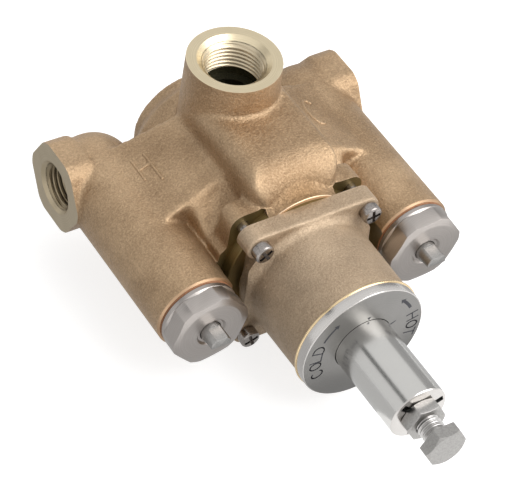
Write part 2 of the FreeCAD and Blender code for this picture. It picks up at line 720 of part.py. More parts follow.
def drive():
    """Drive nut on the spindle's tail, the thermostat and the shuttle that it pushes."""
    bore = "sleeve_radius - sleeve_wall"
    length = "drive_length + drive_skirt_length"
    nut = turned("drive_cup", [
        ("0", bore), ("0", "drive_radius"), ("drive_length", "drive_radius"),
        ("drive_length", "drive_skirt_radius"), (length, "drive_skirt_radius"),
        (length, "stem_radius"), (f"{length} - drive_floor", "stem_radius"),
        (f"{length} - drive_floor", bore)], DRIVE_FRONT)
    wings = block(
        "drive_wings", "2*key_radius", "drive_length - 2*thread_chamfer", "key_width",
        "0", f"({DRIVE_FRONT} + thread_chamfer)", "-key_width/2")
    core = rod(
        "drive_wing_core", "drive_radius - thread_chamfer", DRIVE_FRONT, f"({DRIVE_FRONT} + drive_length)")
    keep("drive_nut", fuse("drive_nut_whole", nut, cut("drive_keys", wings, core)))
    stem = f"({CAPSULE_FRONT} - {DRIVE_BACK} + drive_floor)"
    capsule = f"({stem} + capsule_length)"
    keep("thermostat", turned("motor", [
        ("0", "0"), ("0", "stem_radius"), (stem, "stem_radius"),
        (stem, "capsule_radius - 2*thread_chamfer"), (f"{stem} + 2*thread_chamfer", "capsule_radius"),
        (f"{capsule} - 2*thread_chamfer", "capsule_radius"),
        (capsule, "capsule_radius - 2*thread_chamfer"), (capsule, "0")], f"({DRIVE_BACK} - drive_floor)"))
    front, back = "(-hot_port_depth)", "(-cold_port_depth)"
    outer = "liner_radius - liner_wall - running_gap"
    inner = f"({outer} - shuttle_wall)"
    span = f"({back} - {front})"
    web_front = f"({span}/2 - shuttle_web/2)"
    web_back = f"({span}/2 + shuttle_web/2)"
    hub = "shuttle_hub_radius"
    hole = "stem_radius"
    spool = turned("shuttle_spool", [
        ("0", inner), ("0", outer), (span, outer), (span, inner), (web_back, inner), (web_back, hub),
        (f"{web_back} + shuttle_web/2", hub), (f"{web_back} + shuttle_web/2", hole),
        (f"{web_front} - shuttle_web/2", hole), (f"{web_front} - shuttle_web/2", hub),
        (web_front, hub), (web_front, inner)], front)
    windows = []
    for step in range(6):
        turn = math.radians(60 * step)
        across, up = round(math.cos(turn), 9), round(math.sin(turn), 9)
        windows.append(rod(
            f"shuttle_window_{step}", "shuttle_window_radius", front, back,
            f"shuttle_window_circle*{across}", f"shuttle_window_circle*{up}"))
    keep("shuttle", cut("shuttle_pierced", spool, *windows))


def liner():
    """Ported liner that the shuttle slides in, with two rings that part its hot and cold bands."""
    start = "(-liner_front)"
    outer, inner = "liner_radius", "(liner_radius - liner_wall)"
    waist = "(liner_radius - liner_waist)"
    ring_outer = "liner_bore_radius - running_gap"
    groove = f"({ring_outer} - 2*liner_ring_section)"
    half_groove = "(liner_ring_section + seat_gap)"
    front_ring = "(hot_port_depth + port_band/2 + 3*liner_ring_section)"
    middle_ring = "((hot_port_depth + cold_port_depth)/2)"
    recesses = (
        (front_ring, half_groove, groove), ("hot_port_depth", "port_band/2", waist),
        (middle_ring, half_groove, groove), ("cold_port_depth", "port_band/2", waist))
    profile = [("0", inner), ("0", outer)]
    for depth, half, floor in recesses:
        front = f"(liner_front - {depth} - {half})"
        back = f"(liner_front - {depth} + {half})"
        profile += [(front, outer), (front, floor), (back, floor), (back, outer)]
    end = "liner_front - liner_bore_back"
    profile += [(end, outer), (end, inner)]
    tube = turned("liner_tube", profile, start)
    count = SIZES["liner_port_count"]
    ports = []
    for step in range(count):
        angle = 30 + step * 360 / count
        for band, depth in (("hot", "-hot_port_depth"), ("cold", "-cold_port_depth")):
            ports.append(radial_rod(
                f"{band}_liner_port_{step}", "liner_port_radius", outer, depth, angle))
    keep("port_liner", cut("liner_pierced", tube, *ports))
    rings = [
        o_ring(name, groove, "liner_ring_section", f"-{depth}")
        for name, depth in (("front_liner_ring", front_ring), ("middle_liner_ring", middle_ring))]
    keep("liner_seals", group("liner_rings", *rings))


def return_spring():
    """Coil spring between the thermostat and the back wall."""
    low = SIZES["capsule_length"] - SIZES["capsule_front"] + SIZES["spring_wire"] + SIZES["seat_gap"]
    high = SIZES["back_boss_reach"] - SIZES["back_wall"] - SIZES["spring_wire"] - SIZES["seat_gap"]
    radius, wire, turns = SIZES["spring_radius"], SIZES["spring_wire"], SIZES["spring_turns"]
    helix = Part.makeHelix((high - low) / turns, high - low, radius)
    section = Part.Wire(Part.makeCircle(wire, Vector(radius, 0, 0), Vector(0, 1, 0)))
    coil = Part.Wire(helix.Edges).makePipeShell([section], True, True)
    item = doc.addObject("Part::Feature", "coil_spring")
    item.Shape = coil
    place(item, ALONG_Y, y="capsule_length - capsule_front + spring_wire + seat_gap")
    keep("return_spring", item)


def stop(side, sign):
    """Built-in stop of one side: cap, stem, piston with its washer, strainer and seals."""
    x = f"{sign}barrel_offset"
    hexagon_front = turned(f"{side}_cap_front", [
        ("0", "0"), ("0", "cap_face_radius"), ("cap_face_slope", "cap_round_radius"),
        ("cap_hexagon_length", "cap_round_radius"), ("cap_hexagon_length", "0")], CAP_FACE, x)
    bar = turned_hexagon(f"{side}_cap_bar", "cap_flats", CAP_FACE, CAP_HEX_BACK, x, f"{side}_cap_turn")
    collar, seat = "cap_collar_length", "(cap_collar_length + cap_gasket_thickness)"
    thread = f"({seat} + barrel_thread_depth)"
    skirt = f"({thread} + cap_skirt_length)"
    thread_radius = "barrel_thread_radius - running_gap"
    rear = turned(f"{side}_cap_rear", [
        ("0", "0"), ("0", "cap_collar_radius"), (collar, "cap_collar_radius"), (collar, thread_radius),
        (thread, thread_radius), (thread, "cap_skirt_radius"), (skirt, "cap_skirt_radius"),
        (skirt, "0")], CAP_HEX_BACK, x)
    stem_hole = "stop_stem_radius + running_gap"
    seal_hole = "stop_stem_radius + 2*seal_section + 2*running_gap"
    inside = "cap_skirt_radius - cap_skirt_wall"
    seal_front = f"({CAP_SEAT} - {CAP_FACE})"
    collar_pocket = f"({STEM_COLLAR_FRONT} - {CAP_FACE} - seat_gap/2)"
    pocket_back = f"({STEM_COLLAR_BACK} - {CAP_FACE} + seat_gap)"
    whole = f"({SKIRT_BACK} - {CAP_FACE})"
    bore = turned(f"{side}_cap_bore", [
        ("0", "0"), ("0", "cap_recess_radius"), ("cap_recess_depth", "cap_recess_radius"),
        ("cap_recess_depth", stem_hole), (seal_front, stem_hole), (seal_front, seal_hole),
        (collar_pocket, seal_hole), (collar_pocket, "stop_stem_collar_radius + running_gap"),
        (pocket_back, "stop_stem_collar_radius + running_gap"), (pocket_back, inside),
        (whole, inside), (whole, "0")], CAP_FACE, x)
    slot = block(
        f"{side}_cap_slot", "2*cap_skirt_radius + 2*running_gap", "cap_skirt_length + seat_gap",
        "cap_slot_width", x, f"({CAP_THREAD_BACK})", "-cap_slot_width/2")
    cap = fuse(f"{side}_cap_blank", common(f"{side}_cap_hexagon", hexagon_front, bar), rear)
    keep(f"{side}_stop_cap", cut(f"{side}_cap", cap, bore, slot))
    keep(f"{side}_cap_gasket", ring(
        f"{side}_gasket", "barrel_thread_radius", "cap_collar_radius", CAP_SEAT, BARREL_FRONT, x))

    stem_front = f"({CAP_FACE} - stop_stem_stand)"
    collar_at = f"({STEM_COLLAR_FRONT} - {stem_front})"
    collar_end = f"({collar_at} + stop_stem_collar_length)"
    end = f"({collar_end} + stop_stem_screw_length)"
    stem = turned(f"{side}_stem_blank", [
        ("0", "0"), ("0", "stop_stem_radius - thread_chamfer/2"), ("thread_chamfer/2", "stop_stem_radius"),
        (collar_at, "stop_stem_radius"), (collar_at, "stop_stem_collar_radius"),
        (collar_end, "stop_stem_collar_radius"), (collar_end, "stop_stem_screw_radius"),
        (end, "stop_stem_screw_radius"), (end, "0")], stem_front, x)
    flats = []
    for name, low in (("upper", "stop_stem_flat"), ("lower", "stop_stem_step - stop_stem_radius")):
        flats.append(block(
            f"{side}_stem_{name}_flat", "3*stop_stem_radius", "stop_stem_flat_length", "stop_stem_radius",
            x, stem_front, low))
    keep(f"{side}_stop_stem", cut(f"{side}_stem", stem, *flats))
    keep(f"{side}_stem_seal", o_ring(
        f"{side}_stem_o_ring", "stop_stem_radius + running_gap", "seal_section",
        f"({CAP_SEAT} + seal_section)", x))

    foot = "(piston_length - piston_foot_length)"
    rivet = "(piston_length + washer_thickness)"
    screw_bore = "stop_stem_screw_radius + running_gap"
    blank = turned(f"{side}_piston_blank", [
        ("0", screw_bore), ("0", "piston_radius"), (foot, "piston_radius"),
        (foot, "piston_foot_radius"), ("piston_length", "piston_foot_radius"),
        ("piston_length", "washer_rivet_radius"), (rivet, "washer_rivet_radius"), (rivet, "0"),
        ("piston_bore_length", "0"), ("piston_bore_length", screw_bore)], PISTON_FRONT, x)
    wings = block(
        f"{side}_piston_wings", "2*piston_key_radius", "piston_key_length", "piston_key_width",
        x, PISTON_FRONT, "-piston_key_width/2")
    core = rod(
        f"{side}_piston_core", "piston_radius - thread_chamfer", PISTON_FRONT,
        f"({PISTON_FRONT} + piston_key_length)", x)
    keep(f"{side}_stop_piston", fuse(f"{side}_piston", blank, cut(f"{side}_piston_keys", wings, core)))
    keep(f"{side}_stop_washer", ring(
        f"{side}_washer", "washer_rivet_radius", "piston_foot_radius", WASHER_FRONT, WASHER_BACK, x))

    tube = ring(
        f"{side}_strainer_tube", "strainer_radius - strainer_wall", "strainer_radius",
        SKIRT_BACK, STOP_SEAT, x)
    count = SIZES["strainer_slot_count"]
    slots = [
        radial_block(
            f"{side}_strainer_slot_{step}", "strainer_slot_width", "strainer_radius/2",
            "strainer_radius + strainer_wall", f"({SKIRT_BACK} + strainer_rim)",
            f"{STOP_SEAT} - {SKIRT_BACK} - 2*strainer_rim", step * 360 / count, x)
        for step in range(count)]
    keep(f"{side}_strainer", cut(f"{side}_strainer_slotted", tube, *slots))


def check_and_write():
    """Stops on any failed object, then writes one file for each sub-part."""
    doc.recompute()
    failed = [item.Name for item in doc.Objects if {"Invalid", "Error"} & set(item.State)]
    failed += [node for node, item in parts.items() if item.Shape.isNull() or not item.Shape.isValid()]
    if failed:
        raise SystemExit(f"these failed: {failed}")
    os.makedirs("parts", exist_ok=True)
    for node, item in parts.items():
        item.Shape.exportStep(f"parts/{node}.step")


valve_body()
bonnet()
dial()
keep("flange_screws", group("flange_screw_set", *[flange_screw(*place_) for place_ in screw_places()]))
spindle()
stop_screw()
drive()
liner()
return_spring()
for stop_side, stop_sign in SIDES.items():
    stop(stop_side, stop_sign)
check_and_write()
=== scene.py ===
import math

import bmesh
import bpy
from mathutils import Matrix, Vector


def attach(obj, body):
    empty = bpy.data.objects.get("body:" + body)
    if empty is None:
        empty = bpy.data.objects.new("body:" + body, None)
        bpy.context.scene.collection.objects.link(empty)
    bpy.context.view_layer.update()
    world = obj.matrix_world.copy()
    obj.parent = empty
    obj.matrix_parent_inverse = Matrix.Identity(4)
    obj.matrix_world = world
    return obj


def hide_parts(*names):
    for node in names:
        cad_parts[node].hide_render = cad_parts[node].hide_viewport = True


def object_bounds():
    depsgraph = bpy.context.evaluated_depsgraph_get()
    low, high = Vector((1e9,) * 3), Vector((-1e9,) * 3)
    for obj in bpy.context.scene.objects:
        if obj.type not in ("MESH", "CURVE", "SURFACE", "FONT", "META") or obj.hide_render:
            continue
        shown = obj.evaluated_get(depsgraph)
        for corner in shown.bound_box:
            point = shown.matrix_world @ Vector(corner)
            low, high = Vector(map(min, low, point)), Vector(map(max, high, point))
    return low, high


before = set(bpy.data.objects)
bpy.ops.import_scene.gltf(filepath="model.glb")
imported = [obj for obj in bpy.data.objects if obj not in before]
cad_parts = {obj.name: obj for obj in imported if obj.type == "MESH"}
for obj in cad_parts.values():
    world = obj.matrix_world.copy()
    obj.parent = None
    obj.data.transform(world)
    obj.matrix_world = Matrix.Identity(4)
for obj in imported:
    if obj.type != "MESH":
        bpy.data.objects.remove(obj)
cad_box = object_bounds()

# Shapes are built in millimetres about the cartridge axis, which runs along Y, and FRAME lays them
# into the part's own frame, whose origin is at the upper end of the outlet's thread.
AXIS_BELOW_ORIGIN = 51.5
FRAME = Matrix.Scale(0.001, 4) @ Matrix.Translation((0, 0, -AXIS_BELOW_ORIGIN))

# Stations along Y grow toward the back, so that what faces the front is negative.
OUTLET_TOP, OUTLET_RADIUS, OUTLET_FLARE = 53.6, 18.2, 1.2
OUTLET_THREAD_RADIUS, OUTLET_CHAMFER, OUTLET_THREAD_DEPTH, OUTLET_THREAD_END = 12.1, 2.1, 17.6, 39.3
INLET_REACH, INLET_BACK, INLET_FLATS, INLET_ROUND, INLET_LENGTH = 64.3, 14.4, 33.2, 18.0, 10.6
INLET_THREAD_RADIUS, INLET_CHAMFER, INLET_THREAD_DEPTH = 9.2, 1.6, 9.0
INLET_LINE = (INLET_BACK, 0)
INLET_NECK = 16.1
OUTLET_PASSAGE, INLET_THROAT, TRANSFER_PORT, PORT_START, TAPPED_HOLE = 8.4, 7.3, 5.6, 16.1, 2.45
BARREL_OFFSET, BARREL_RADIUS, BARREL_REACH = 47.3, 16.2, 63.5
HOUSING_RADIUS, HOUSING_BACK = 27.2, 28.1
BLANK_FRONT, SHELF_BACK = -55, -42
SEAT, FACING, CHEST_FACING, SEAT_RADIUS = -55.7, -51.0, -51.9, 30.0
APRON, APRON_RADIUS = (0, 7.2), 24
EAR_ACROSS, EAR_UP, EAR_RADIUS = 23.4, 23.0, 5.2
EARS = [(x, z) for x in (-EAR_ACROSS, EAR_ACROSS) for z in (-EAR_UP, EAR_UP)]
FLANGE_FRONT, BONNET_END, DIAL_FACE = -63.5, -98.0, -102.2
SLEEVE_MOUTH = -138.8
CAP_SEAT, CAP_HEX_BACK, CAP_FACE, CAP_FLATS = -64.1, -66.5, -74.0, 29.1
PIPE_PITCH, SCREW_PITCH = 1.814, 1.5875

# How far out the tools that cut a face reach, the voxels of softened pieces, and the distance at which
# vertices join
CLEAR = 90
CAST_VOXEL, BONNET_VOXEL, LETTER_VOXEL = 0.85, 0.62, 0.3
WELD = 1e-4

# Material slots of the casting: rough skin, outlet's face, bores, seat's side and face, inlet faces,
# and the ends of the two barrels. The bonnet uses the first three.
CAST, FACE, BORE, SEAT_SIDE, SEAT_FACE, INLET_FACE, HOT_END, COLD_END = range(8)


# Meshes in code

def point(axis, along, radius, angle, at):
    """A point on a circle about a line along an axis. at is the line's place across that axis."""
    a, b = at[0] + radius * math.cos(angle), at[1] + radius * math.sin(angle)
    return {"x": (along, a, b), "y": (a, along, b), "z": (a, b, along)}[axis]


def spot(radius, degrees, at=(0, 0)):
    """A point on a circle across an axis."""
    angle = math.radians(degrees)
    return at[0] + radius * math.cos(angle), at[1] + radius * math.sin(angle)


def arc(centre, radius, low, high, steps=8):
    """Points of an arc across an axis, between two angles in degrees."""
    return [spot(radius, low + (high - low) * step / steps, centre) for step in range(steps + 1)]


def bar(low, high, half, degrees, at=(0, 0)):
    """Corners of a bar across an axis. It runs from low to high in a direction, half as wide to either side."""
    across, up = spot(1, degrees)
    return [(at[0] + a * across - b * up, at[1] + a * up + b * across)
            for a, b in ((low, -half), (high, -half), (high, half), (low, half))]


def turn(profile, at=(0, 0), axis="y", segments=96, ring=False):
    """A turned shell through (station, radius) points, closed on itself for a ring."""
    verts, faces, rows = [], [], []
    for along, radius in profile:
        count = segments if radius > 1e-6 else 1
        rows.append(range(len(verts), len(verts) + count))
        verts += [point(axis, along, radius, 2 * math.pi * step / segments, at) for step in range(count)]
    followers = rows[1:] + rows[:1] if ring else rows[1:]
    for here, there in zip(rows, followers):
        for step in range(segments):
            corners = (here[step % len(here)], here[(step + 1) % len(here)],
                       there[(step + 1) % len(there)], there[step % len(there)])
            face = list(dict.fromkeys(corners))
            if len(face) > 2:
                faces.append(face)
    return verts, faces


def rod(radius, start, end, at=(0, 0), axis="y", end_radius=None, segments=96):
    """A cylinder, or a cone where it has an end radius."""
    tip = radius if end_radius is None else end_radius
    return turn([(start, 0), (start, radius), (end, tip), (end, 0)], at, axis, segments)


def ball(radius, at, along, segments=64):
    """A ball on a line along Y."""
    steps = segments // 2
    angles = [math.pi * step / steps for step in range(steps + 1)]
    profile = [(along - radius * math.cos(t), radius * math.sin(t)) for t in angles]
    profile[0], profile[-1] = (along - radius, 0), (along + radius, 0)
    return turn(profile, at, segments=segments)


def extrude(outline, start, end, axis="y"):
    """A prism: outline is a list of points across the axis."""
    order = {"x": lambda s, a, b: (s, a, b),
             "y": lambda s, a, b: (a, s, b),
             "z": lambda s, a, b: (a, b, s)}[axis]
    count = len(outline)
    verts = [order(station, a, b) for station in (start, end) for a, b in outline]
    faces = [list(range(count)), list(range(count, 2 * count))]
    faces += [(k, (k + 1) % count, count + (k + 1) % count, count + k) for k in range(count)]
    return verts, faces


def box(x, y, z):
    """A box between two places on each axis."""
    return extrude([(x[0], z[0]), (x[1], z[0]), (x[1], z[1]), (x[0], z[1])], y[0], y[1])


def hexagon(flats, start, end, at=(0, 0), axis="y", turned=0.0):
    """A hexagonal prism. Its first corner is turned by an angle in degrees."""
    corner = flats / math.sqrt(3)
    angles = [math.radians(turned) + math.pi / 3 * step for step in range(6)]
    outline = [(at[0] + corner * math.cos(t), at[1] + corner * math.sin(t)) for t in angles]
    return extrude(outline, start, end, axis)


def helix(start, end, pitch, crest, root, at=(0, 0), axis="y", segments=96, samples=10, skin=None,
          leads=(0, 0)):
    """A screw thread between two stations. It is closed to a plain skin radius for a threaded hole,
    or to the axis for a screw. A hole's thread is cut back to a cone over its leads at either end."""
    flat, flank = 0.12, 0.76  # shares of half a turn
    grid = round(samples * ((end - start) / pitch + 2)) + 1
    rows = []
    for step in range(segments):
        lag = step / segments
        row = []
        for place in range(grid):
            along = min(max(start + (place / samples + lag - 1) * pitch, start), end)
            height = abs(2 * (((along - start) / pitch - lag) % 1) - 1)
            radius = crest + (root - crest) * min(1, max(0, (height - flat) / flank))
            cone = max(leads[0] - along + start, leads[1] - end + along, 0)
            row.append((along, max(radius, crest + cone) if skin else radius))
        row += [(end, skin or 0), (start, skin or 0)]
        rows.append([point(axis, along, radius, 2 * math.pi * lag, at) for along, radius in row])
    width = grid + 2
    verts, faces = [vert for row in rows for vert in row], []
    for step in range(segments):
        here, there = step * width, (step + 1) % segments * width
        shift = samples if step == segments - 1 else 0
        for place in range(grid - 1 - shift):
            faces.append((here + place, here + place + 1, there + place + 1 + shift, there + place + shift))
        for low, high in ((grid - 1, grid), (grid, grid + 1), (grid + 1, 0)):
            faces.append((here + low, here + high, there + high, there + low))
    return verts, faces


def solid(name, *shells):
    """One object of closed shells, each facing out."""
    verts, faces = [], []
    for shell_verts, shell_faces in shells:
        start = len(verts)
        verts += shell_verts
        faces += [[start + corner for corner in face] for face in shell_faces]
    mesh = bpy.data.meshes.new(name)
    mesh.from_pydata(verts, [], faces)
    shape = bmesh.new()
    shape.from_mesh(mesh)
    bmesh.ops.remove_doubles(shape, verts=shape.verts, dist=WELD)
    bmesh.ops.dissolve_degenerate(shape, edges=shape.edges, dist=WELD)
    bmesh.ops.recalc_face_normals(shape, faces=shape.faces)
    shape.to_mesh(mesh)
    shape.free()
    return placed(name, mesh)


def placed(name, data):
    """A new object in the scene."""
    item = bpy.data.objects.new(name, data)
    bpy.context.scene.collection.objects.link(item)
    return item


def bake(item):
    """Applies an object's modifiers."""
    graph = bpy.context.evaluated_depsgraph_get()
    mesh = bpy.data.meshes.new_from_object(item.evaluated_get(graph))
    item.modifiers.clear()
    spent, item.data = item.data, mesh
    bpy.data.meshes.remove(spent)
    return item


def mark(item, look):
    """Gives every face of an object one material index."""
    while len(item.data.materials) <= COLD_END:
        item.data.materials.append(None)
    item.data.polygons.foreach_set("material_index", [look] * len(item.data.polygons))


def carve(item, shells, look=None, operation="DIFFERENCE"):
    """Cuts, joins or intersects an object with shells or solids, whose faces get the given material index."""
    tools = []
    if look is not None and not item.data.materials:
        mark(item, CAST)
    for shell in shells:
        tool = shell if isinstance(shell, bpy.types.Object) else solid("tool", shell)
        if look is not None:
            mark(tool, look)
        edit = item.modifiers.new("edit", "BOOLEAN")
        edit.operation, edit.solver, edit.object = operation, "MANIFOLD", tool
        tools.append(tool)
    bake(item)
    for tool in tools:
        bpy.data.objects.remove(tool)
    return item


def melt(item, voxel, *passes):
    """Joins an object's shells into one skin and softens its edges as a casting's are. Each pass is a
    count and, where it isn't even, a rule for how much a vertex follows."""
    edit = item.modifiers.new("skin", "REMESH")
    edit.mode, edit.voxel_size = "VOXEL", voxel
    bake(item)
    for count, *rule in passes:
        edit = item.modifiers.new("soften", "SMOOTH")
        edit.factor, edit.iterations = 0.5, count
        if rule:
            weights = item.vertex_groups.new(name="soft")
            for vertex in item.data.vertices:
                weights.add([vertex.index], rule[0](vertex.co), "REPLACE")
            edit.vertex_group = "soft"
        bake(item)
        item.vertex_groups.clear()
    return item


def bevel(item, width, angle=30):
    """Rounds the edges that turn by more than an angle in degrees."""
    edit = item.modifiers.new("bevel", "BEVEL")
    edit.width, edit.segments, edit.limit_method = width, 2, "ANGLE"
    edit.angle_limit = math.radians(angle)
    edit.use_clamp_overlap = True
    return bake(item)


def piece(item, body, looks, stands_for=(), sharp=32):
    """Lays a finished shape into the frame as a piece that rides on a body."""
    item.data.transform(FRAME)
    for place, look in enumerate(looks):
        if place < len(item.data.materials):
            item.data.materials[place] = look
        else:
            item.data.materials.append(look)
    while len(item.data.materials) > len(looks):
        item.data.materials.pop()
    item.data.polygons.foreach_set("use_smooth", [True] * len(item.data.polygons))
    item.data.set_sharp_from_angle(angle=math.radians(sharp))
    item.data.update()
    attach(item, body)
    if stands_for:
        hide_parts(*stands_for)


# Materials

def node(tree, kind, inputs=None, **settings):
    """A shader node. An input is a value, or the socket that feeds it."""
    made = tree.nodes.new(kind)
    for key, value in settings.items():
        setattr(made, key, value)
    for key, value in (inputs or {}).items():
        if isinstance(value, bpy.types.NodeSocket):
            tree.links.new(value, made.inputs[key])
        else:
            made.inputs[key].default_value = value
    return made


def blank_look(name, metallic, roughness, color):
    """A plain material, with its tree and shader."""
    look = bpy.data.materials.new(name)
    look.use_nodes = True
    shader = look.node_tree.nodes["Principled BSDF"]
    shader.inputs["Metallic"].default_value = metallic
    shader.inputs["Roughness"].default_value = roughness
    shader.inputs["Base Color"].default_value = (*color, 1)
    look.diffuse_color = (*color, 1)
    return look, look.node_tree, shader


def noise(tree, coords, size, detail=3.0, roughness=0.55):
    """Noise whose spots are about size millimetres across."""
    return node(tree, "ShaderNodeTexNoise", {
        "Vector": coords, "Scale": 1000 / size, "Detail": detail, "Roughness": roughness}).outputs["Fac"]


def remap(tree, value, source, target):
    """Carries a value from one range to another."""
    return node(tree, "ShaderNodeMapRange", {
        "Value": value, "From Min": source[0], "From Max": source[1],
        "To Min": target[0], "To Max": target[1]}).outputs["Result"]


def ramp(tree, value, *stops):
    """Colours by value. Each stop is a place and a colour."""
    made = node(tree, "ShaderNodeValToRGB", {"Fac": value})
    band = made.color_ramp
    while len(band.elements) < len(stops):
        band.elements.new(0.5)
    for element, (place, color) in zip(band.elements, stops):
        element.position, element.color = place, (*color, 1)
    return made.outputs["Color"]


def blend(tree, factor, a, b, kind="MIX"):
    """Mixes two colours, either of which can be a socket."""
    made = node(tree, "ShaderNodeMix", {"Factor": factor}, data_type="RGBA", blend_type=kind)
    for socket, value in (("A", a), ("B", b)):
        target = next(s for s in made.inputs if s.name == socket and s.type == "RGBA")
        if isinstance(value, bpy.types.NodeSocket):
            tree.links.new(value, target)
        else:
            target.default_value = (*value, 1)
    return next(s for s in made.outputs if s.type == "RGBA")


def bump(tree, height, millimetres, normal=None):
    """Relief of a given height, over that of another bump if there is one."""
    inputs = {"Height": height, "Distance": millimetres / 1000, "Strength": 1.0}
    if normal is not None:
        inputs["Normal"] = normal
    return node(tree, "ShaderNodeBump", inputs).outputs["Normal"]


MOTTLE_SIZE = 26


def cast_look(name, dark, mid, light, metallic, roughness, grain, relief, swell, painted_shade=None):
    """Sand-cast bronze: fine grain, slow mottling, low swells and brighter outer edges. The last argument, when
    given, paints shade: a darker patch with its centre, the radii it fades between and its tint."""
    look, tree, shader = blank_look(name, metallic, roughness, mid)
    coords = node(tree, "ShaderNodeTexCoord").outputs["Object"]
    fine = noise(tree, coords, grain, detail=4.0, roughness=0.65)
    coarse = noise(tree, coords, grain * 2.6, detail=2.0)
    slow = noise(tree, coords, MOTTLE_SIZE, detail=3.0)
    tone = ramp(tree, fine, (0.32, dark), (0.5, mid), (0.7, light))
    mottled = blend(tree, 0.45, tone, ramp(tree, slow, (0.35, tuple(c * 0.8 for c in mid)), (0.65, light)))
    edges = node(tree, "ShaderNodeNewGeometry").outputs["Pointiness"]
    colour = blend(tree, remap(tree, edges, (0.5, 0.58), (0.0, 0.6)), mottled, light)
    # Painted shade: the colour darkens toward a centre, fading out between two radii.
    if painted_shade:
        centre, inner, outer, tint = painted_shade
        away = node(tree, "ShaderNodeVectorMath", {0: coords, 1: FRAME @ Vector(centre)}, operation="DISTANCE")
        share = remap(tree, away.outputs["Value"], (inner / 1000, outer / 1000), (0.85, 0.0))
        colour = blend(tree, share, colour, tint, "MULTIPLY")
    tree.links.new(colour, shader.inputs["Base Color"])
    rough = remap(tree, coarse, (0.3, 0.7), (roughness - 0.06, roughness + 0.08))
    tree.links.new(rough, shader.inputs["Roughness"])
    low = bump(tree, slow, swell)
    low = bump(tree, coarse, relief * 0.8, low)
    tree.links.new(bump(tree, fine, relief, low), shader.inputs["Normal"])
    return look


def turned_look(name, color, shade, roughness, axis, at=(0, 0), marks=0.25, relief=0.02, metallic=1.0):
    """Lathe-turned metal with fine rings about an axis, marks millimetres apart."""
    look, tree, shader = blank_look(name, metallic, roughness, color)
    coords = node(tree, "ShaderNodeTexCoord").outputs["Object"]
    parts = node(tree, "ShaderNodeSeparateXYZ", {"Vector": coords}).outputs
    centre = {"x": (0, at[0] / 1000, (at[1] - AXIS_BELOW_ORIGIN) / 1000),
              "y": (at[0] / 1000, 0, (at[1] - AXIS_BELOW_ORIGIN) / 1000),
              "z": (at[0] / 1000, at[1] / 1000, 0)}[axis]
    keep = tuple(0.0 if letter == axis else 1.0 for letter in "xyz")
    offset = node(tree, "ShaderNodeVectorMath", {0: coords, 1: centre}, operation="SUBTRACT").outputs[0]
    flat = node(tree, "ShaderNodeVectorMath", {0: offset, 1: keep}, operation="MULTIPLY").outputs[0]
    radius = node(tree, "ShaderNodeVectorMath", {0: flat}, operation="LENGTH").outputs["Value"]
    along = parts["XYZ".index(axis.upper())]
    place = node(tree, "ShaderNodeMath", {0: radius, 1: along}, operation="ADD").outputs[0]
    rings = node(tree, "ShaderNodeTexNoise", {
        "W": place, "Scale": 1000 / marks, "Detail": 3.0}, noise_dimensions="1D").outputs["Fac"]
    cloud = noise(tree, coords, 7, detail=3.0)
    tone = blend(tree, ramp(tree, rings, (0.3, (0, 0, 0)), (0.75, (1, 1, 1))), shade, color)
    tone = blend(tree, ramp(tree, cloud, (0.4, (0, 0, 0)), (0.8, (0.55, 0.55, 0.55))), tone, shade)
    tree.links.new(tone, shader.inputs["Base Color"])
    tree.links.new(bump(tree, rings, relief), shader.inputs["Normal"])
    return look


def plain_look(name, color, shade, metallic, roughness, grain=0.6, relief=0.02):
    """A small piece's finish: two tones in a fine grain."""
    look, tree, shader = blank_look(name, metallic, roughness, color)
    coords = node(tree, "ShaderNodeTexCoord").outputs["Object"]
    fine = noise(tree, coords, grain, detail=4.0)
    tree.links.new(ramp(tree, fine, (0.3, shade), (0.65, color)), shader.inputs["Base Color"])
    tree.links.new(bump(tree, fine, relief), shader.inputs["Normal"])
    return look


BRONZE_DARK, BRONZE_MID, BRONZE_LIGHT = (0.20, 0.125, 0.065), (0.385, 0.255, 0.145), (0.65, 0.465, 0.29)
CREAM, CREAM_SHADE = (0.84, 0.73, 0.52), (0.66, 0.56, 0.38)
BARREL_END, BARREL_END_SHADE = (0.62, 0.43, 0.28), (0.46, 0.30, 0.18)
CAP_STEEL, CAP_SHADE = (0.51, 0.475, 0.45), (0.41, 0.375, 0.35)

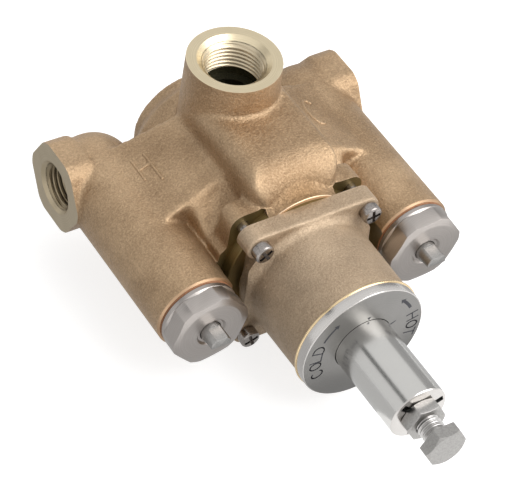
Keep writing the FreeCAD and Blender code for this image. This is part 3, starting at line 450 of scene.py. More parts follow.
looks = {
    # The casting's skin gets painted shade at the chest's front, toward the flange.
    "cast": cast_look("cast_bronze", BRONZE_DARK, BRONZE_MID, BRONZE_LIGHT, metallic=0.74, roughness=0.42,
                      grain=0.72, relief=0.3, swell=0.35, painted_shade=((0, -54, 26), 5, 16, (0.66, 0.57, 0.44))),
    "dial_edge": turned_look("dial_edge_steel", (0.66, 0.635, 0.61), (0.54, 0.52, 0.50), 0.2, "y"),
    "screw": plain_look("screw_steel", (0.36, 0.33, 0.31), (0.24, 0.22, 0.205), 1.0, 0.26),
    "bonnet": cast_look("bonnet_bronze", (0.25, 0.175, 0.11), (0.41, 0.305, 0.205), (0.62, 0.475, 0.33),
                        metallic=0.62, roughness=0.48, grain=0.62, relief=0.26, swell=0.08),
    # The seat's side and the bonnet's machined faces are a dark olive bronze: painted shade behind the flange.
    "seat": turned_look("seat_painted_shade", (0.30, 0.22, 0.09), (0.18, 0.13, 0.05), 0.4, "y", metallic=0.7),
    "outlet_face": turned_look("outlet_face_bronze", CREAM, CREAM_SHADE, 0.36, "z"),
    "inlet_face": turned_look("inlet_face_bronze", (0.54, 0.46, 0.33), (0.40, 0.33, 0.22), 0.36, "x",
                              INLET_LINE),
    "seat_face": turned_look("seat_face_bronze", (0.74, 0.55, 0.38), (0.62, 0.45, 0.30), 0.4, "y"),
    "outlet_thread": turned_look("outlet_thread_bronze", (0.70, 0.60, 0.44), (0.5, 0.42, 0.29), 0.32, "z"),
    # The inlet threads are darker than the outlet's: painted shade deep in the inlets.
    "inlet_thread": turned_look("inlet_thread_painted_shade", (0.40, 0.33, 0.22), (0.24, 0.19, 0.12), 0.3, "x",
                                INLET_LINE),
    # The bores are painted dark green-black as the shade inside them.
    "bore": plain_look("bore_painted_shade", (0.13, 0.12, 0.075), (0.06, 0.058, 0.036), 0.8, 0.45),
    "hot_end": turned_look("hot_end_bronze", BARREL_END, BARREL_END_SHADE, 0.36, "y", (-BARREL_OFFSET, 0)),
    "cold_end": turned_look("cold_end_bronze", BARREL_END, BARREL_END_SHADE, 0.36, "y", (BARREL_OFFSET, 0)),
    "rim": turned_look("rim_bronze", (0.95, 0.78, 0.50), (0.8, 0.6, 0.35), 0.25, "y"),
    # The dial's face is steel painted darker than its edge, as shade.
    "dial": turned_look("dial_face_painted_shade", (0.28, 0.27, 0.26), (0.215, 0.21, 0.20), 0.36, "y", marks=0.2,
                        relief=0.006),
    "paint": plain_look("marking_paint", (0.045, 0.045, 0.055), (0.03, 0.03, 0.035), 0.0, 0.6),
    "sleeve": turned_look("polished_steel", (0.70, 0.69, 0.665), (0.64, 0.63, 0.61), 0.2, "y", marks=0.12,
                          relief=0.003),
    "hot_cap": turned_look("hot_cap_steel", CAP_STEEL, CAP_SHADE, 0.36, "y", (-BARREL_OFFSET, 0),
                           marks=0.3, relief=0.008),
    "cold_cap": turned_look("cold_cap_steel", CAP_STEEL, CAP_SHADE, 0.36, "y", (BARREL_OFFSET, 0),
                            marks=0.3, relief=0.008),
    # The sleeve's slots are painted near black as the shade inside them.
    "slot_painted_shade": plain_look("slot_steel_painted_shade", (0.12, 0.12, 0.12), (0.07, 0.07, 0.07), 0.9, 0.5),
    "steel": plain_look("plated_steel", (0.40, 0.39, 0.375), (0.30, 0.29, 0.28), 1.0, 0.34, relief=0.006),
    "thread": turned_look("thread_steel", (0.60, 0.585, 0.57), (0.45, 0.44, 0.43), 0.28, "y"),
    "inner": plain_look("inner_bronze", (0.55, 0.40, 0.22), (0.42, 0.30, 0.16), 0.95, 0.35),
    "copper": plain_look("copper", (0.75, 0.40, 0.25), (0.6, 0.3, 0.18), 1.0, 0.3),
    "rubber": plain_look("seal_rubber", (0.03, 0.03, 0.03), (0.02, 0.02, 0.02), 0.0, 0.5),
    "fibre": plain_look("gasket_fibre", (0.42, 0.20, 0.10), (0.28, 0.13, 0.07), 0.0, 0.7),
    "gauze": plain_look("strainer_steel", (0.6, 0.6, 0.58), (0.4, 0.4, 0.38), 1.0, 0.4),
}


# Casting

def casting():
    """The bronze body: a softened casting with its machined faces and bores cut afterwards."""
    shells = [
        turn([(-50, 0), (-50, SEAT_RADIUS), (-42.5, SEAT_RADIUS), (-41, HOUSING_RADIUS), (19, HOUSING_RADIUS),
              (24, 23), (HOUSING_BACK, 22.8), (HOUSING_BACK, 0)]),
        rod(OUTLET_RADIUS + OUTLET_FLARE, 0, OUTLET_TOP + 2, axis="z", end_radius=OUTLET_RADIUS),
        box((-28.7, 28.7), (BLANK_FRONT, SHELF_BACK), (-EAR_UP, EAR_UP)),
        box((-EAR_ACROSS, EAR_ACROSS), (BLANK_FRONT, SHELF_BACK), (-28.3, 28.3)),
        box((-31.5, 31.5), (BLANK_FRONT, -31), (-10, 10)),
        saddle_fill(-1), saddle_fill(1),
        extrude([(-31.5, -8), (31.5, -8), (31.5, 9.5), (28.3, 15), (-28.3, 15), (-31.5, 9.5)],
                BLANK_FRONT, SHELF_BACK),
        box((-17, 17), (-50, -25), (10, 26.5)),
    ]
    shells += [rod(EAR_RADIUS + 0.1, BLANK_FRONT, SHELF_BACK, ear) for ear in EARS]
    for side in (-1, 1):
        x = side * BARREL_OFFSET
        shells += [
            rod(1.7, BLANK_FRONT, -32, (side * 30.2, 10.4), segments=24),
            rod(BARREL_RADIUS + 0.1, -BARREL_REACH - 3, INLET_BACK, (x, 0)),
            ball(BARREL_RADIUS + 0.1, (x, 0), INLET_BACK),
            rod(INLET_NECK, x, side * (INLET_REACH - 3), INLET_LINE, "x"),
            web(side)]
    blank = solid("casting", *shells)
    merge(blank, chest())
    for side in (-1, 1):
        merge(blank, inlet_hexagon(side))
    melt(blank, CAST_VOXEL, (12, softness), (45, saddle))
    return carve(blank, [box((-60, 60), (-CLEAR, 60), (OUTLET_TOP, OUTLET_TOP + 20))], FACE)


def chest():
    """The raised block in front of the outlet, common to its outlines from the front, side and top."""
    half, foremost = 18.6, -52.2
    # Radii of the top's front edge, its left and right corners, and the corners seen from above
    front, side, crisp, corner = 15.0, 7.0, 3.0, 8.0
    item = solid("chest", extrude(
        [(-half, 0), (half, 0)] + arc((half - crisp, 41 - crisp), crisp, 0, 90)
        + arc((side - half, 41 - side), side, 90, 180), -53, 4))
    from_side = [(5, 0), (5, 41.1)] + arc((front + foremost, 41.1 - front), front, 90, 180, 12) + [(foremost, 0)]
    from_above = [(18.7, 5), (-18.7, 5)] + arc((corner - 18.7, corner - 52.3), corner, 180, 270)
    from_above += arc((18.7 - corner, corner - 52.3), corner, 270, 360)
    return carve(item, [extrude(from_side, -20, 20, "x"), extrude(from_above, -1, 42, "z")],
                 operation="INTERSECT")


def merge(item, other):
    """Adds another object's shells to an object."""
    shape = bmesh.new()
    shape.from_mesh(item.data)
    shape.from_mesh(other.data)
    shape.to_mesh(item.data)
    shape.free()
    bpy.data.objects.remove(other)


def inlet_hexagon(side):
    """An inlet's end: a hexagon whose corners are turned round."""
    start, end = side * (INLET_REACH - INLET_LENGTH), side * (INLET_REACH + 3)
    item = solid("inlet_hexagon", hexagon(INLET_FLATS + 0.2, start, end, INLET_LINE, "x"))
    return carve(item, [rod(INLET_ROUND - 0.02, start - side, end + side, INLET_LINE, "x")],
                 operation="INTERSECT")


def web(side):
    """Shoulder that slopes from the chest down to a barrel."""
    verts = []
    for x, top, front, back in ((0, 27.0, -30, 7), (18.5, 27.0, -30, 7), (BARREL_OFFSET, 15.6, -31.8, 10.5)):
        verts += [(side * x, y, z) for y, z in ((front, -12.0), (back, -12.0), (back, top), (front, top))]
    faces = [(0, 1, 2, 3), (8, 9, 10, 11)]
    for start in (0, 4):
        faces += [(start + k, start + (k + 1) % 4, start + 4 + (k + 1) % 4, start + 4 + k) for k in range(4)]
    return verts, faces


def saddle_fill(side):
    """The hollow's floor, which falls from the web's front edge to the shelf beside the screw bosses."""
    top = ((18, -25, 26.6), (33.5, -30, 21.5), (31.5, -44, 9.5), (18, -44, 24.5))
    verts = [(side * x, y, z) for x, y, z in top] + [(side * x, y, 2.0) for x, y, z in top]
    faces = [(0, 1, 2), (0, 2, 3), (7, 6, 5, 4)] + [(k, (k + 1) % 4, 4 + (k + 1) % 4, 4 + k) for k in range(4)]
    return verts, faces


def softness(place):
    """How much a vertex follows the softening: little at the outlet's rim, the inlets and the barrel ends."""
    if abs(place.x) > INLET_REACH - INLET_LENGTH and place.y > -6:
        return min(1, max(0.3, (INLET_REACH - abs(place.x)) / 8))
    if place.z > 48:
        return 0.2
    if place.y < -BARREL_REACH + 4 and abs(place.x) > 30:
        return 0.1
    return 1.0


def saddle(place):
    """How much a vertex follows a second softening, of the hollows beside the chest and along its foot."""
    across = abs(place.x)
    away = (Vector((across, place.y, place.z)) - Vector((26.5, -33.5, 18))).length
    foot = math.hypot(across - 19.3, place.z - 26.5) + max(0, -34 - place.y, place.y - 2)
    return min(1, max(0, (11 - away) / 6, (6.5 - foot) / 3.5))


def facing(side):
    """The flange facing's round cut into a barrel's flank."""
    radius, half = 33.6, 58
    outline = arc((0, 0), radius, -half, half, 24) + arc((0, 0), SEAT_RADIUS, half, -half, 24)
    return extrude([(side * x, z) for x, z in outline], -64.5, FACING)


def machine(item):
    """Cuts the casting's machined faces, its seat and its bores."""
    depth, height = (-CLEAR, 60), (-CLEAR, CLEAR)
    carve(item, [box((-CLEAR, -INLET_REACH), depth, height), box((INLET_REACH, CLEAR), depth, height)],
          INLET_FACE)
    for side, look in ((-1, HOT_END), (1, COLD_END)):
        carve(item, [
            box(sorted((side * 31, side * CLEAR)), (-CLEAR, -BARREL_REACH), height),
            turn([(-64.5, 15.5), (-BARREL_REACH, 15.5), (-62.8, 16.4), (-62.8, 18), (-64.5, 18)],
                 (side * BARREL_OFFSET, 0), ring=True)], look)
    front, up = -70, (-40, 28.9)
    carve(item, [box((-31.4, -14), (front, FACING), up), box((14, 31.4), (front, FACING), up),
                 box((-14, 14), (front, CHEST_FACING), up), facing(-1), facing(1)], SEAT_SIDE)
    apron_and_seat(item)
    carve(item, [
        rod(OUTLET_THREAD_RADIUS, OUTLET_THREAD_END, OUTLET_TOP + 1, axis="z", segments=128),
        turn([(OUTLET_TOP - OUTLET_CHAMFER, 0), (OUTLET_TOP - OUTLET_CHAMFER, OUTLET_THREAD_RADIUS),
              (OUTLET_TOP, OUTLET_THREAD_RADIUS + OUTLET_CHAMFER), (OUTLET_TOP + 1, 15.2), (OUTLET_TOP + 1, 0)],
             axis="z", segments=128)], FACE)
    tools = [
        rod(OUTLET_THREAD_RADIUS, OUTLET_TOP - OUTLET_THREAD_DEPTH, OUTLET_THREAD_END, axis="z", segments=128),
        rod(OUTLET_PASSAGE, 0, OUTLET_TOP, axis="z")]
    # The cartridge's chamber: its wall, its mouth and its back
    tools += [rod(radius, -60, end) for radius, end in ((18.0, -9.7), (21.0, -51.5), (16.0, 23))]
    for side, port in ((-1, -31.0), (1, -16.4)):
        x = side * BARREL_OFFSET
        face, beyond = side * INLET_REACH, side * (INLET_REACH + 1)
        thread_end, mouth = side * (INLET_REACH - INLET_THREAD_DEPTH), side * (INLET_REACH - INLET_CHAMFER)
        carve(item, [
            rod(INLET_THREAD_RADIUS, thread_end, beyond, INLET_LINE, "x"),
            turn([(mouth, 0), (mouth, INLET_THREAD_RADIUS), (face, INLET_THREAD_RADIUS + INLET_CHAMFER),
                  (beyond, 11.8), (beyond, 0)], INLET_LINE, "x")], INLET_FACE)
        tools += [rod(INLET_THROAT, x, thread_end, INLET_LINE, "x"),
                  rod(TRANSFER_PORT, side * PORT_START, x, (port, 0), "x")]
        # The barrel's bores: its mouth, the stop chamber and the passage behind the stop's seat
        tools += [rod(radius, start, end, (x, 0))
                  for radius, start, end in ((12.5, -66, -50), (11.5, -66, -3), (7.6, -10, 23))]
    tools += [rod(TAPPED_HOLE, -60, -43.7, ear, segments=32) for ear in EARS]
    return carve(item, tools, BORE)


def apron_and_seat(item):
    """The cast apron under the chest, whose rim follows the chest's front, and the bonnet's turned seat."""
    apron = solid("apron", turn([
        (SEAT + 0.3, 0), (SEAT + 0.3, APRON_RADIUS), (-54.3, 24.1), (-53.2, 24.5), (-52.2, 25.1), (-51.3, 25.9),
        (-50.3, 26.8), (-49.2, 27.8), (-47.8, 29), (-46, 29), (-46, 0)], APRON, segments=160))
    carve(apron, [box((-14.5, 14.5), (-60, -40), (8, 40))], operation="INTERSECT")
    carve(item, [apron], CAST, "UNION")
    collar = [(SEAT + 0.2, 0), (SEAT + 0.2, SEAT_RADIUS), (-46, SEAT_RADIUS), (-46, 0)]
    disc = [(SEAT, 0), (SEAT, SEAT_RADIUS - 0.25), (SEAT + 0.25, SEAT_RADIUS - 0.005), (SEAT + 0.5, 0)]
    for profile in (collar, disc):
        carve(item, [turn(profile, segments=160)], SEAT_SIDE, "UNION")
    disc = [(SEAT, 0), (SEAT, APRON_RADIUS - 0.25), (SEAT + 0.25, APRON_RADIUS), (SEAT + 0.5, 0)]
    carve(item, [turn(disc, APRON, segments=160)], SEAT_FACE, "UNION")


def stroke(surface, points, width):
    """A raised cast line that follows a surface from above."""
    shells = []
    for (x0, y0), (x1, y1) in zip(points, points[1:]):
        steps = max(2, math.ceil(math.hypot(x1 - x0, y1 - y0) / 0.5))
        for step in range(steps + 1):
            x, y = x0 + (x1 - x0) * step / steps, y0 + (y1 - y0) * step / steps
            found, place, *_ = surface.ray_cast((x, y, 60), (0, 0, -1))
            if found:
                shells.append(turn([(place.z - width, 0), (place.z - width * 0.6, width * 0.8),
                                    (place.z, width), (place.z + width * 0.45, width * 0.75),
                                    (place.z + width * 0.65, 0)], (place.x, place.y), "z", 12))
    return shells


def cast_letters(surface):
    """The raised H and C on the shoulders, over the hot and the cold inlet."""
    curve = [(34.7 + 2.9 * across, -8.5 + 7 * along) for across, along in arc((0, 0), 1, 50, 310, 13)]
    shells = []
    for points in (((-41, -1), (-41, -11)), ((-36, -1), (-36, -15)), ((-41, -6), (-36, -6)), curve):
        shells += stroke(surface, points, 0.72)
    return melt(solid("cast_letters", *shells), LETTER_VOXEL, (5,))


def flange_outline(spread):
    """Outline of the bonnet's flange with its four ears, grown by spread."""
    outline = []
    for quarter in range(4):
        ear = (EAR_ACROSS * (1 if quarter in (0, 3) else -1), EAR_UP * (1 if quarter in (0, 1) else -1))
        outline += arc(ear, EAR_RADIUS + spread, 90 * quarter - 30, 90 * quarter + 120, 15)
    return outline


def bonnet():
    """The bonnet: a finer casting whose back face, front end and bore are machined."""
    radius = 4.2
    sweep = [(-63.3 - radius * (1 - up), 25.3 + radius * (1 - across)) for across, up in arc((0, 0), 1, 0, 90, 6)]
    fillet = solid("fillet", turn([(-67.5, 20), *sweep, (-63.0, 29.5), (-63.0, 20)], ring=True))
    carve(fillet, [extrude(flange_outline(-0.8), -70, -60)], operation="INTERSECT")
    shells = [
        turn([(BONNET_END - 2, 0), (BONNET_END - 2, 25.1), (-57, 25.6), (-57, 0)], segments=128),
        extrude([(-EAR_ACROSS, -28.2), (EAR_ACROSS, -28.2), (EAR_ACROSS, 28.2), (-EAR_ACROSS, 28.2)],
                FLANGE_FRONT, -53)]
    shells += [rod(EAR_RADIUS, FLANGE_FRONT, -53, ear) for ear in EARS]
    blank = solid("bonnet_casting", *shells)
    merge(blank, fillet)
    melt(blank, BONNET_VOXEL, (9,))
    carve(blank, [box((-40, 40), (-120, BONNET_END), (-40, 40)), box((-40, 40), (SEAT, -40), (-40, 40))], FACE)
    carve(blank, [turn([(SEAT - 0.5, 0), (SEAT - 0.5, 20.9), (SEAT + 3.2, 20.9), (SEAT + 3.2, 0)])], FACE,
          "UNION")
    carve(blank, [
        turn([(-99, 0), (-99, 16.05), (-95.9, 16.05), (-95.9, 11.75), (-88.1, 11.75), (-88, 15.1), (-83.9, 15.1),
              (-83.8, 17.0), (-52, 17.0), (-52, 0)]),
        *[rod(2.5, -70, -50, ear, segments=32) for ear in EARS]], BORE)
    return blank


def bonnet_rim():
    """The bright turned edge behind the dial."""
    return solid("bonnet_rim", turn([
        (BONNET_END, 20), (BONNET_END, 25.95), (BONNET_END + 0.15, 26.1), (BONNET_END + 0.65, 26.1),
        (BONNET_END + 0.8, 25.9), (BONNET_END + 0.8, 20)], segments=160, ring=True))


def flange_screws():
    """The four cheese-head screws with their cross recesses."""
    head, tip = FLANGE_FRONT - 4.2, FLANGE_FRONT + 17
    profile = [(head, 0), (head + 0.03, 2.0), (head + 0.15, 3.0), (head + 0.5, 3.7), (head + 0.9, 3.9),
               (FLANGE_FRONT - 0.2, 3.9), (FLANGE_FRONT, 3.7), (FLANGE_FRONT, 2.4), (tip - 0.6, 2.4), (tip, 1.8),
               (tip, 0)]
    item = None
    for ear, turned in zip(EARS, (20, 35, 62, 8)):
        screw = solid("cheese_screws", turn(profile, ear, segments=48))
        carve(screw, [extrude(bar(-2.9, 2.9, 0.65, way, ear), head - 1, head + 1.9)
                      for way in (turned, turned + 90)])
        if item:
            merge(item, screw)
        else:
            item = screw
    return item


def dial():
    """The dial plate: a turned disc with a broken edge. Its face is a darker steel than its edge, as painted
    shade.
    """
    item = solid("dial", turn([
        (DIAL_FACE, 11.9), (DIAL_FACE, 25.3), (DIAL_FACE + 0.12, 25.58), (DIAL_FACE + 0.35, 25.7),
        (BONNET_END, 25.7), (BONNET_END, 16), (BONNET_END + 2, 16), (BONNET_END + 2, 11.9)],
        segments=200, ring=True))
    mark(item, 1)
    # The face gets the darker steel of painted shade, the rest the edge's steel.
    for face in item.data.polygons:
        face.material_index = 0 if abs(face.center.y - DIAL_FACE) < 0.01 else 1
    return item


# The markings stand a little proud of the dial, and reach into it.
MARK_FACE, MARK_BACK = DIAL_FACE - 0.03, DIAL_FACE - 0.03 + 0.2


def dial_marks():
    """Markings on the dial: HOT, COLD, two arrows, the index and a tick."""
    shells = []
    for word in (("C", 204, 20.3), ("O", 189.5, 20.3), ("L", 178, 20.3), ("D", 165.5, 20.3),
                 ("H", 12.7, 21.5), ("O", -0.3, 21.5), ("T", -11.2, 21.5)):
        shells += letter(*word)
    outlines = [arrow(20.1, 154.5, 128.7, 0.42), arrow(21.6, 27.8, 49.6, 0.62)]
    for corners in (((84.5, 13.6), (91.5, 13.6), (88, 12.2)),
                    ((20.8, 12.2), (24.0, 12.2), (23.6, 14.6), (22.0, 14.6))):
        outlines.append([spot(radius, degrees) for degrees, radius in corners])
    shells += [extrude(outline, MARK_FACE, MARK_BACK) for outline in outlines]
    return solid("dial_marks", *shells)


def arrow(radius, tail, head, width):
    """Outline of an arrow bent along a circle of the dial, from tail to head in degrees."""
    neck, barb = head - math.copysign(5, head - tail), 1.35
    return (arc((0, 0), radius + width, tail, neck, 12)
            + [spot(radius + barb, neck), spot(radius, head), spot(radius - barb, neck)]
            + arc((0, 0), radius - width, tail, neck, 12)[::-1])


# Letters as strokes in a box 1 wide and 1 tall
STROKES = {
    "H": [[(0, 0), (0, 1)], [(1, 0), (1, 1)], [(0, 0.5), (1, 0.5)]],
    "O": [arc((0.5, 0.5), 0.5, 0, 360, 18)],
    "T": [[(0, 1), (1, 1)], [(0.5, 0), (0.5, 1)]],
    "C": [arc((0.5, 0.5), 0.5, 45, 315, 15)],
    "L": [[(0, 1), (0, 0), (1, 0)]],
    "D": [[(0, 0), (0, 1), (0.35, 1)]
          + [(0.35 + 0.65 * across, 0.5 + 0.5 * up) for across, up in arc((0, 0), 1, 75, -75, 10)]
          + [(0.35, 0), (0, 0)]],
}


def letter(name, angle, radius, tall=4.6, wide=3.5, pen=0.27):
    """A letter's strokes, with its top outward on the dial."""
    out = spot(1, angle)
    clockwise = (out[1], -out[0])
    shells = []
    for line in STROKES[name]:
        places = []
        for a, b in line:
            along, up = (a - 0.5) * wide, (b - 0.5) * tall
            places.append((radius * out[0] + along * clockwise[0] + up * out[0],
                           radius * out[1] + along * clockwise[1] + up * out[1]))
        for (x0, z0), (x1, z1) in zip(places, places[1:]):
            length = math.hypot(x1 - x0, z1 - z0)
            dx, dz = (x1 - x0) / length * pen, (z1 - z0) / length * pen
            shells.append(extrude([
                (x0 - dx + dz, z0 - dz - dx), (x1 + dx + dz, z1 + dz - dx),
                (x1 + dx - dz, z1 + dz + dx), (x0 - dx - dz, z0 - dz + dx)], MARK_FACE, MARK_BACK))
    return shells


def sleeve():
    """The polished sleeve with the three slots in its mouth, whose end has a finish of its own. The slots' faces
    are painted near black, as shade.
    """
    item = solid("sleeve", turn([
        (SLEEVE_MOUTH, 7.0), (SLEEVE_MOUTH, 11.1), (-138.7, 11.4), (-138.3, 11.7), (-87.9, 11.7), (-87.9, 8.0),
        (-135, 8.0), (-135, 7.0)], segments=200, ring=True))
    mark(item, 0)
    for face in item.data.polygons:
        face.material_index = 2 if face.center.y < -138.35 else 0
    slots = [extrude(bar(6.6, 10.4, 1.3, angle), -140, SLEEVE_MOUTH + 3.2) for angle in (20, 140, 260)]
    return carve(item, slots, 1)


def chamfered_hexagon(name, flats, start, end, front, back):
    """A hexagon about the axis. Its corners are cut to a cone at either end, each as deep as given."""
    corner = flats / math.sqrt(3) + 0.01
    face = flats / 2 - 0.15
    profile = [(start, 0), (start, face if front else corner), (start + max(front, 0.01), corner),
               (end - max(back, 0.01), corner), (end, face if back else corner), (end, 0)]
    item = solid(name, hexagon(flats, start, end))
    carve(item, [turn(profile)], operation="INTERSECT")
    return bevel(item, 0.12)


def lock_nut():
    """The lock nut, bored for the stop screw."""
    return carve(chamfered_hexagon("clamp_nut", 14.4, -144.5, -138.9, 0.75, 0.75), [rod(4.8, -150, -130)])


def stop_screw():
    """The stop screw: a hexagon head and a threaded shank."""
    item = chamfered_hexagon("hexagon_screw", 15.0, -157.0, -152.1, 0.9, 0.0)
    merge(item, solid("shank", rod(4.1, -152.5, -112.8)))
    thread = solid("thread", helix(-151.7, -126.0, SCREW_PITCH, 4.75, 4.0, segments=64))
    mark(item, 0)
    mark(thread, 1)
    merge(item, thread)
    return item


def stop_cap(side, x, turned):
    """A hexagon cap with a shallow cone round its face, and its threaded skirt behind."""
    at, collar = (x, 0), 15.3
    item = solid(f"{side}_cap", hexagon(CAP_FLATS, CAP_FACE, CAP_HEX_BACK, at, turned=turned))
    carve(item, [turn([
        (CAP_FACE, 0), (CAP_FACE, 12.6), (CAP_FACE + 0.65, 15.65), (CAP_HEX_BACK, 15.65), (CAP_HEX_BACK, 0)],
        at, segments=128)], operation="INTERSECT")
    bevel(item, 0.18, angle=12)
    carve(item, [turn([
        (CAP_HEX_BACK - 0.3, 0), (CAP_HEX_BACK - 0.3, 14.4), (CAP_HEX_BACK + 0.6, collar),
        (CAP_SEAT - 0.3, collar), (CAP_SEAT, 15.0), (CAP_SEAT, 12.45), (-50, 12.45), (-50, 11.3), (-37, 11.3),
        (-37, 0)],
        at, segments=128)], operation="UNION")
    return carve(item, [turn([
        (CAP_FACE - 1, 0), (CAP_FACE - 1, 7.2), (CAP_FACE + 0.8, 5.4), (CAP_FACE + 0.8, 4.45), (CAP_SEAT, 4.2),
        (CAP_SEAT, 8.1), (-36, 8.1), (-36, 0)], at)])


def stop_stem(side, x):
    """A screwdriver stem: its lower half is cut away, with a small flat on top."""
    front, across = CAP_FACE - 7.1, (x - 6, x + 6)
    item = solid(f"{side}_stem", turn([
        (front, 0), (front, 3.85), (front + 0.3, 4.15), (CAP_SEAT + 2.1, 4.15), (CAP_SEAT + 2.1, 6.6),
        (CAP_SEAT + 5.7, 6.6), (CAP_SEAT + 5.7, 4.5), (CAP_SEAT + 35.7, 4.5), (CAP_SEAT + 35.7, 0)], (x, 0)))
    carve(item, [box(across, (front - 1, front + 6.4), (3.4, 8)),
                 box(across, (front - 1, front + 5.3), (-8, -0.4))])
    return bevel(item, 0.12)


# Visible pieces

body = machine(casting())
letters = cast_letters(body)
# The seat's side and the bores carry painted shade.
piece(body, "casing", [looks[name] for name in (
    "cast", "outlet_face", "bore", "seat", "seat_face", "inlet_face", "hot_end", "cold_end")],
      ["valve_body"])
piece(letters, "casing", [looks["cast"]], sharp=60)

# Each thread is a shell that lines its bore, from inside the wall to the crests. It is cut back at the mouth.
OUTLET_CREST, OUTLET_ROOT, INLET_CREST, INLET_ROOT, LAP = 10.9, 12.05, 8.1, 9.15, 0.3
threads = (
    ("outlet_thread", helix(OUTLET_THREAD_END, OUTLET_TOP - OUTLET_CHAMFER + LAP, PIPE_PITCH, OUTLET_CREST,
                            OUTLET_ROOT, axis="z", skin=12.4, segments=128, leads=(0, 1.5)), "outlet_thread"),
    ("hot_inlet_thread", helix(-INLET_REACH + INLET_CHAMFER - LAP, -INLET_REACH + INLET_THREAD_DEPTH, PIPE_PITCH,
                               INLET_CREST, INLET_ROOT, INLET_LINE, "x", skin=9.5, leads=(1.4, 0)),
     "inlet_thread"),
    ("cold_inlet_thread", helix(INLET_REACH - INLET_THREAD_DEPTH, INLET_REACH - INLET_CHAMFER + LAP, PIPE_PITCH,
                                INLET_CREST, INLET_ROOT, INLET_LINE, "x", skin=9.5, leads=(0, 1.4)),
     "inlet_thread"))
for name, shell, look in threads:
    piece(solid(name, shell), "casing", [looks[look]], sharp=50)

# The bonnet's machined faces and bore carry the same painted shade.
piece(bonnet(), "casing", [looks["bonnet"], looks["seat"], looks["bore"]], ["bonnet"])
piece(bonnet_rim(), "casing", [looks["rim"]])
piece(flange_screws(), "casing", [looks["screw"]], ["flange_screws"], sharp=40)
piece(dial(), "casing", [looks["dial"], looks["dial_edge"]], ["dial_plate"])
piece(dial_marks(), "casing", [looks["paint"]])
piece(sleeve(), "spindle", [looks["sleeve"], looks["slot_painted_shade"], looks["dial_edge"]],
      ["spindle_sleeve"])
piece(lock_nut(), "lock_nut", [looks["steel"]], ["lock_nut"])
piece(stop_screw(), "stop_screw", [looks["steel"], looks["thread"]], ["stop_screw"])
for side, x, turned in (("hot", -BARREL_OFFSET, 12.0), ("cold", BARREL_OFFSET, 4.3)):
    piece(stop_cap(side, x, turned), "casing", [looks[f"{side}_cap"]], [f"{side}_stop_cap"])
    piece(stop_stem(side, x), f"{side}_stem", [looks["steel"]], [f"{side}_stop_stem"])

# Inner pieces: the frame's own solids, with better materials
FINISHES = {
    "inner": ("shuttle", "drive_nut", "port_liner", "hot_stop_piston", "cold_stop_piston"),
    "copper": ("thermostat",),
    "rubber": ("spindle_seal", "liner_seals", "hot_stem_seal", "cold_stem_seal", "hot_stop_washer",
               "cold_stop_washer"),
    "fibre": ("bonnet_gasket", "hot_cap_gasket", "cold_cap_gasket"),
    "steel": ("spindle", "thrust_pin", "retaining_ring", "return_spring"),
    "gauze": ("hot_strainer", "cold_strainer"),
}
for look, names in FINISHES.items():
    for name in names:
        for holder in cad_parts[name].material_slots:
            holder.material = looks[look]


# Camera, light and backdrop

AZIMUTH, ELEVATION, ROLL = math.radians(-38.272), math.radians(45.840), math.radians(9.597)
EYE = Vector((-0.39587, -0.53290, 0.58956))
LENS = 168.02
TARGET = Vector((0.0, -0.05, -0.05))
FILL, WORLD_SEEN = 0.38, 1.0
FLOOR_HALF, FLOOR_BELOW, CARD_BELOW, FLOOR_GREY, FLOOR_GLOW = 4, 0.0005, 0.0003, 0.5, 0.78


def make_camera():
    """The photo's camera: its direction, its roll about the view, its place and its lens."""
    data = bpy.data.cameras.new("camera")
    data.lens, data.sensor_width, data.sensor_fit = LENS, 36.0, "HORIZONTAL"
    data.clip_start, data.clip_end = 0.05, 20.0
    camera = placed("camera", data)
    back = Vector((math.sin(AZIMUTH) * math.cos(ELEVATION), -math.cos(AZIMUTH) * math.cos(ELEVATION),
                   math.sin(ELEVATION)))
    level = Vector((math.cos(AZIMUTH), math.sin(AZIMUTH), 0))
    rise = back.cross(level)
    right = level * math.cos(ROLL) + rise * math.sin(ROLL)
    up = back.cross(right)
    camera.matrix_world = Matrix((right, up, back)).transposed().to_4x4()
    camera.location = EYE
    bpy.context.scene.camera = camera


def light_path_share(tree):
    """1 for rays that come straight from the camera, a reflection or a refraction, and 0 for the rest."""
    path = node(tree, "ShaderNodeLightPath").outputs
    share = node(tree, "ShaderNodeMath", {0: path["Is Camera Ray"], 1: path["Is Glossy Ray"]}, operation="ADD")
    return node(tree, "ShaderNodeMath", {0: share.outputs[0], 1: path["Is Transmission Ray"]}, operation="ADD",
                use_clamp=True).outputs[0]


def make_world():
    """White to the camera and in reflections, and a softer fill light elsewhere."""
    world = bpy.data.worlds.new("world")
    bpy.context.scene.world = world
    world.use_nodes = True
    tree = world.node_tree
    background = tree.nodes["Background"]
    background.inputs["Color"].default_value = (1, 1, 1, 1)
    strength = remap(tree, light_path_share(tree), (0.0, 1.0), (FILL, WORLD_SEEN))
    tree.links.new(strength, background.inputs["Strength"])


def make_floor():
    """Pale floor: white to the camera, apart from the object's soft shadow."""
    verts = [(x * FLOOR_HALF, y * FLOOR_HALF, cad_box[0][2] - FLOOR_BELOW)
             for x, y in ((-1, -1), (1, -1), (1, 1), (-1, 1))]
    floor, tree = sheet("floor", verts, [(0, 1, 2, 3)])
    diffuse = node(tree, "ShaderNodeBsdfDiffuse", {"Color": (FLOOR_GREY, FLOOR_GREY, FLOOR_GREY, 1)})
    glow = node(tree, "ShaderNodeEmission", {"Color": (1, 1, 1, 1), "Strength": FLOOR_GLOW})
    shown = node(tree, "ShaderNodeAddShader", {0: diffuse.outputs[0], 1: glow.outputs[0]})
    mix = node(tree, "ShaderNodeMixShader",
               {0: light_path_share(tree), 1: diffuse.outputs[0], 2: shown.outputs[0]})
    node(tree, "ShaderNodeOutputMaterial", {"Surface": mix.outputs[0]})


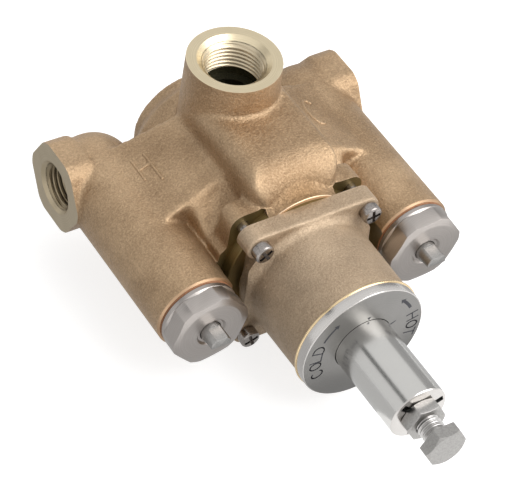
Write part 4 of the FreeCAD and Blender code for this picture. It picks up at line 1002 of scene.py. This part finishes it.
def sheet(name, verts, faces):
    """A sheet of the studio, in metres, and the empty tree of its material."""
    mesh = bpy.data.meshes.new(name)
    mesh.from_pydata(verts, [], faces)
    item = placed(name, mesh)
    look = bpy.data.materials.new(name)
    look.use_nodes = True
    look.node_tree.nodes.clear()
    mesh.materials.append(look)
    return item, look.node_tree


def make_light(name, toward, distance, size, watts, glossy=True):
    """A soft square light that stands off the object in a direction."""
    lamp = bpy.data.lights.new(name, "AREA")
    lamp.shape, lamp.size, lamp.energy = "SQUARE", size, watts
    light = placed(name, lamp)
    light.location = TARGET + Vector(toward).normalized() * distance
    light.rotation_euler = (TARGET - light.location).to_track_quat("-Z", "Y").to_euler()
    light.visible_glossy = glossy


def ring_card(name, low, high, level):
    """A card behind the object, between two rims: the inner one farther back. It spans an angle in degrees
    about a line along Y, from +X toward +Z."""
    radius, steps = 1.54, 16
    verts = [(TARGET.x + across * radius * scale, TARGET.y + back, TARGET.z + up * radius * scale)
             for scale, back in ((0.55, 1.1), (1.4, 0.8)) for across, up in arc((0, 0), 1, low, high, steps)]
    count = steps + 1
    make_card(name, verts, [(k, k + 1, count + k + 1, count + k) for k in range(steps)], level)


def make_card(name, verts, faces, level):
    """A card that glows at a level and that only reflections see."""
    card, tree = sheet(name, verts, faces)
    glow = node(tree, "ShaderNodeEmission", {"Color": (1, 1, 1, 1), "Strength": level})
    node(tree, "ShaderNodeOutputMaterial", {"Surface": glow.outputs[0]})
    card.visible_camera = card.visible_diffuse = card.visible_shadow = card.visible_transmission = False


make_camera()
make_world()
make_floor()
make_light("key", (0.43, -0.50, 0.70), distance=1.1, size=1.0, watts=11)
make_light("back", (0.45, 0.50, 0.70), distance=1.1, size=0.8, watts=4.5, glossy=False)
ring_card("grey_card", -59, 40, 0.4)
ring_card("bright_card", 40, 126, 0.85)
ring_card("dark_card", 126, 140, 0.1)
ring_card("left_card", 140, 195, 0.78)
low = cad_box[0][2] - CARD_BELOW
make_card("low_card", [(-0.9, -0.115, low), (0.5, -0.115, low), (0.5, 1.2, low), (-0.9, 1.2, low)],
          [(0, 1, 2, 3)], 0.62)

scene = bpy.context.scene
scene.view_settings.view_transform = "Standard"
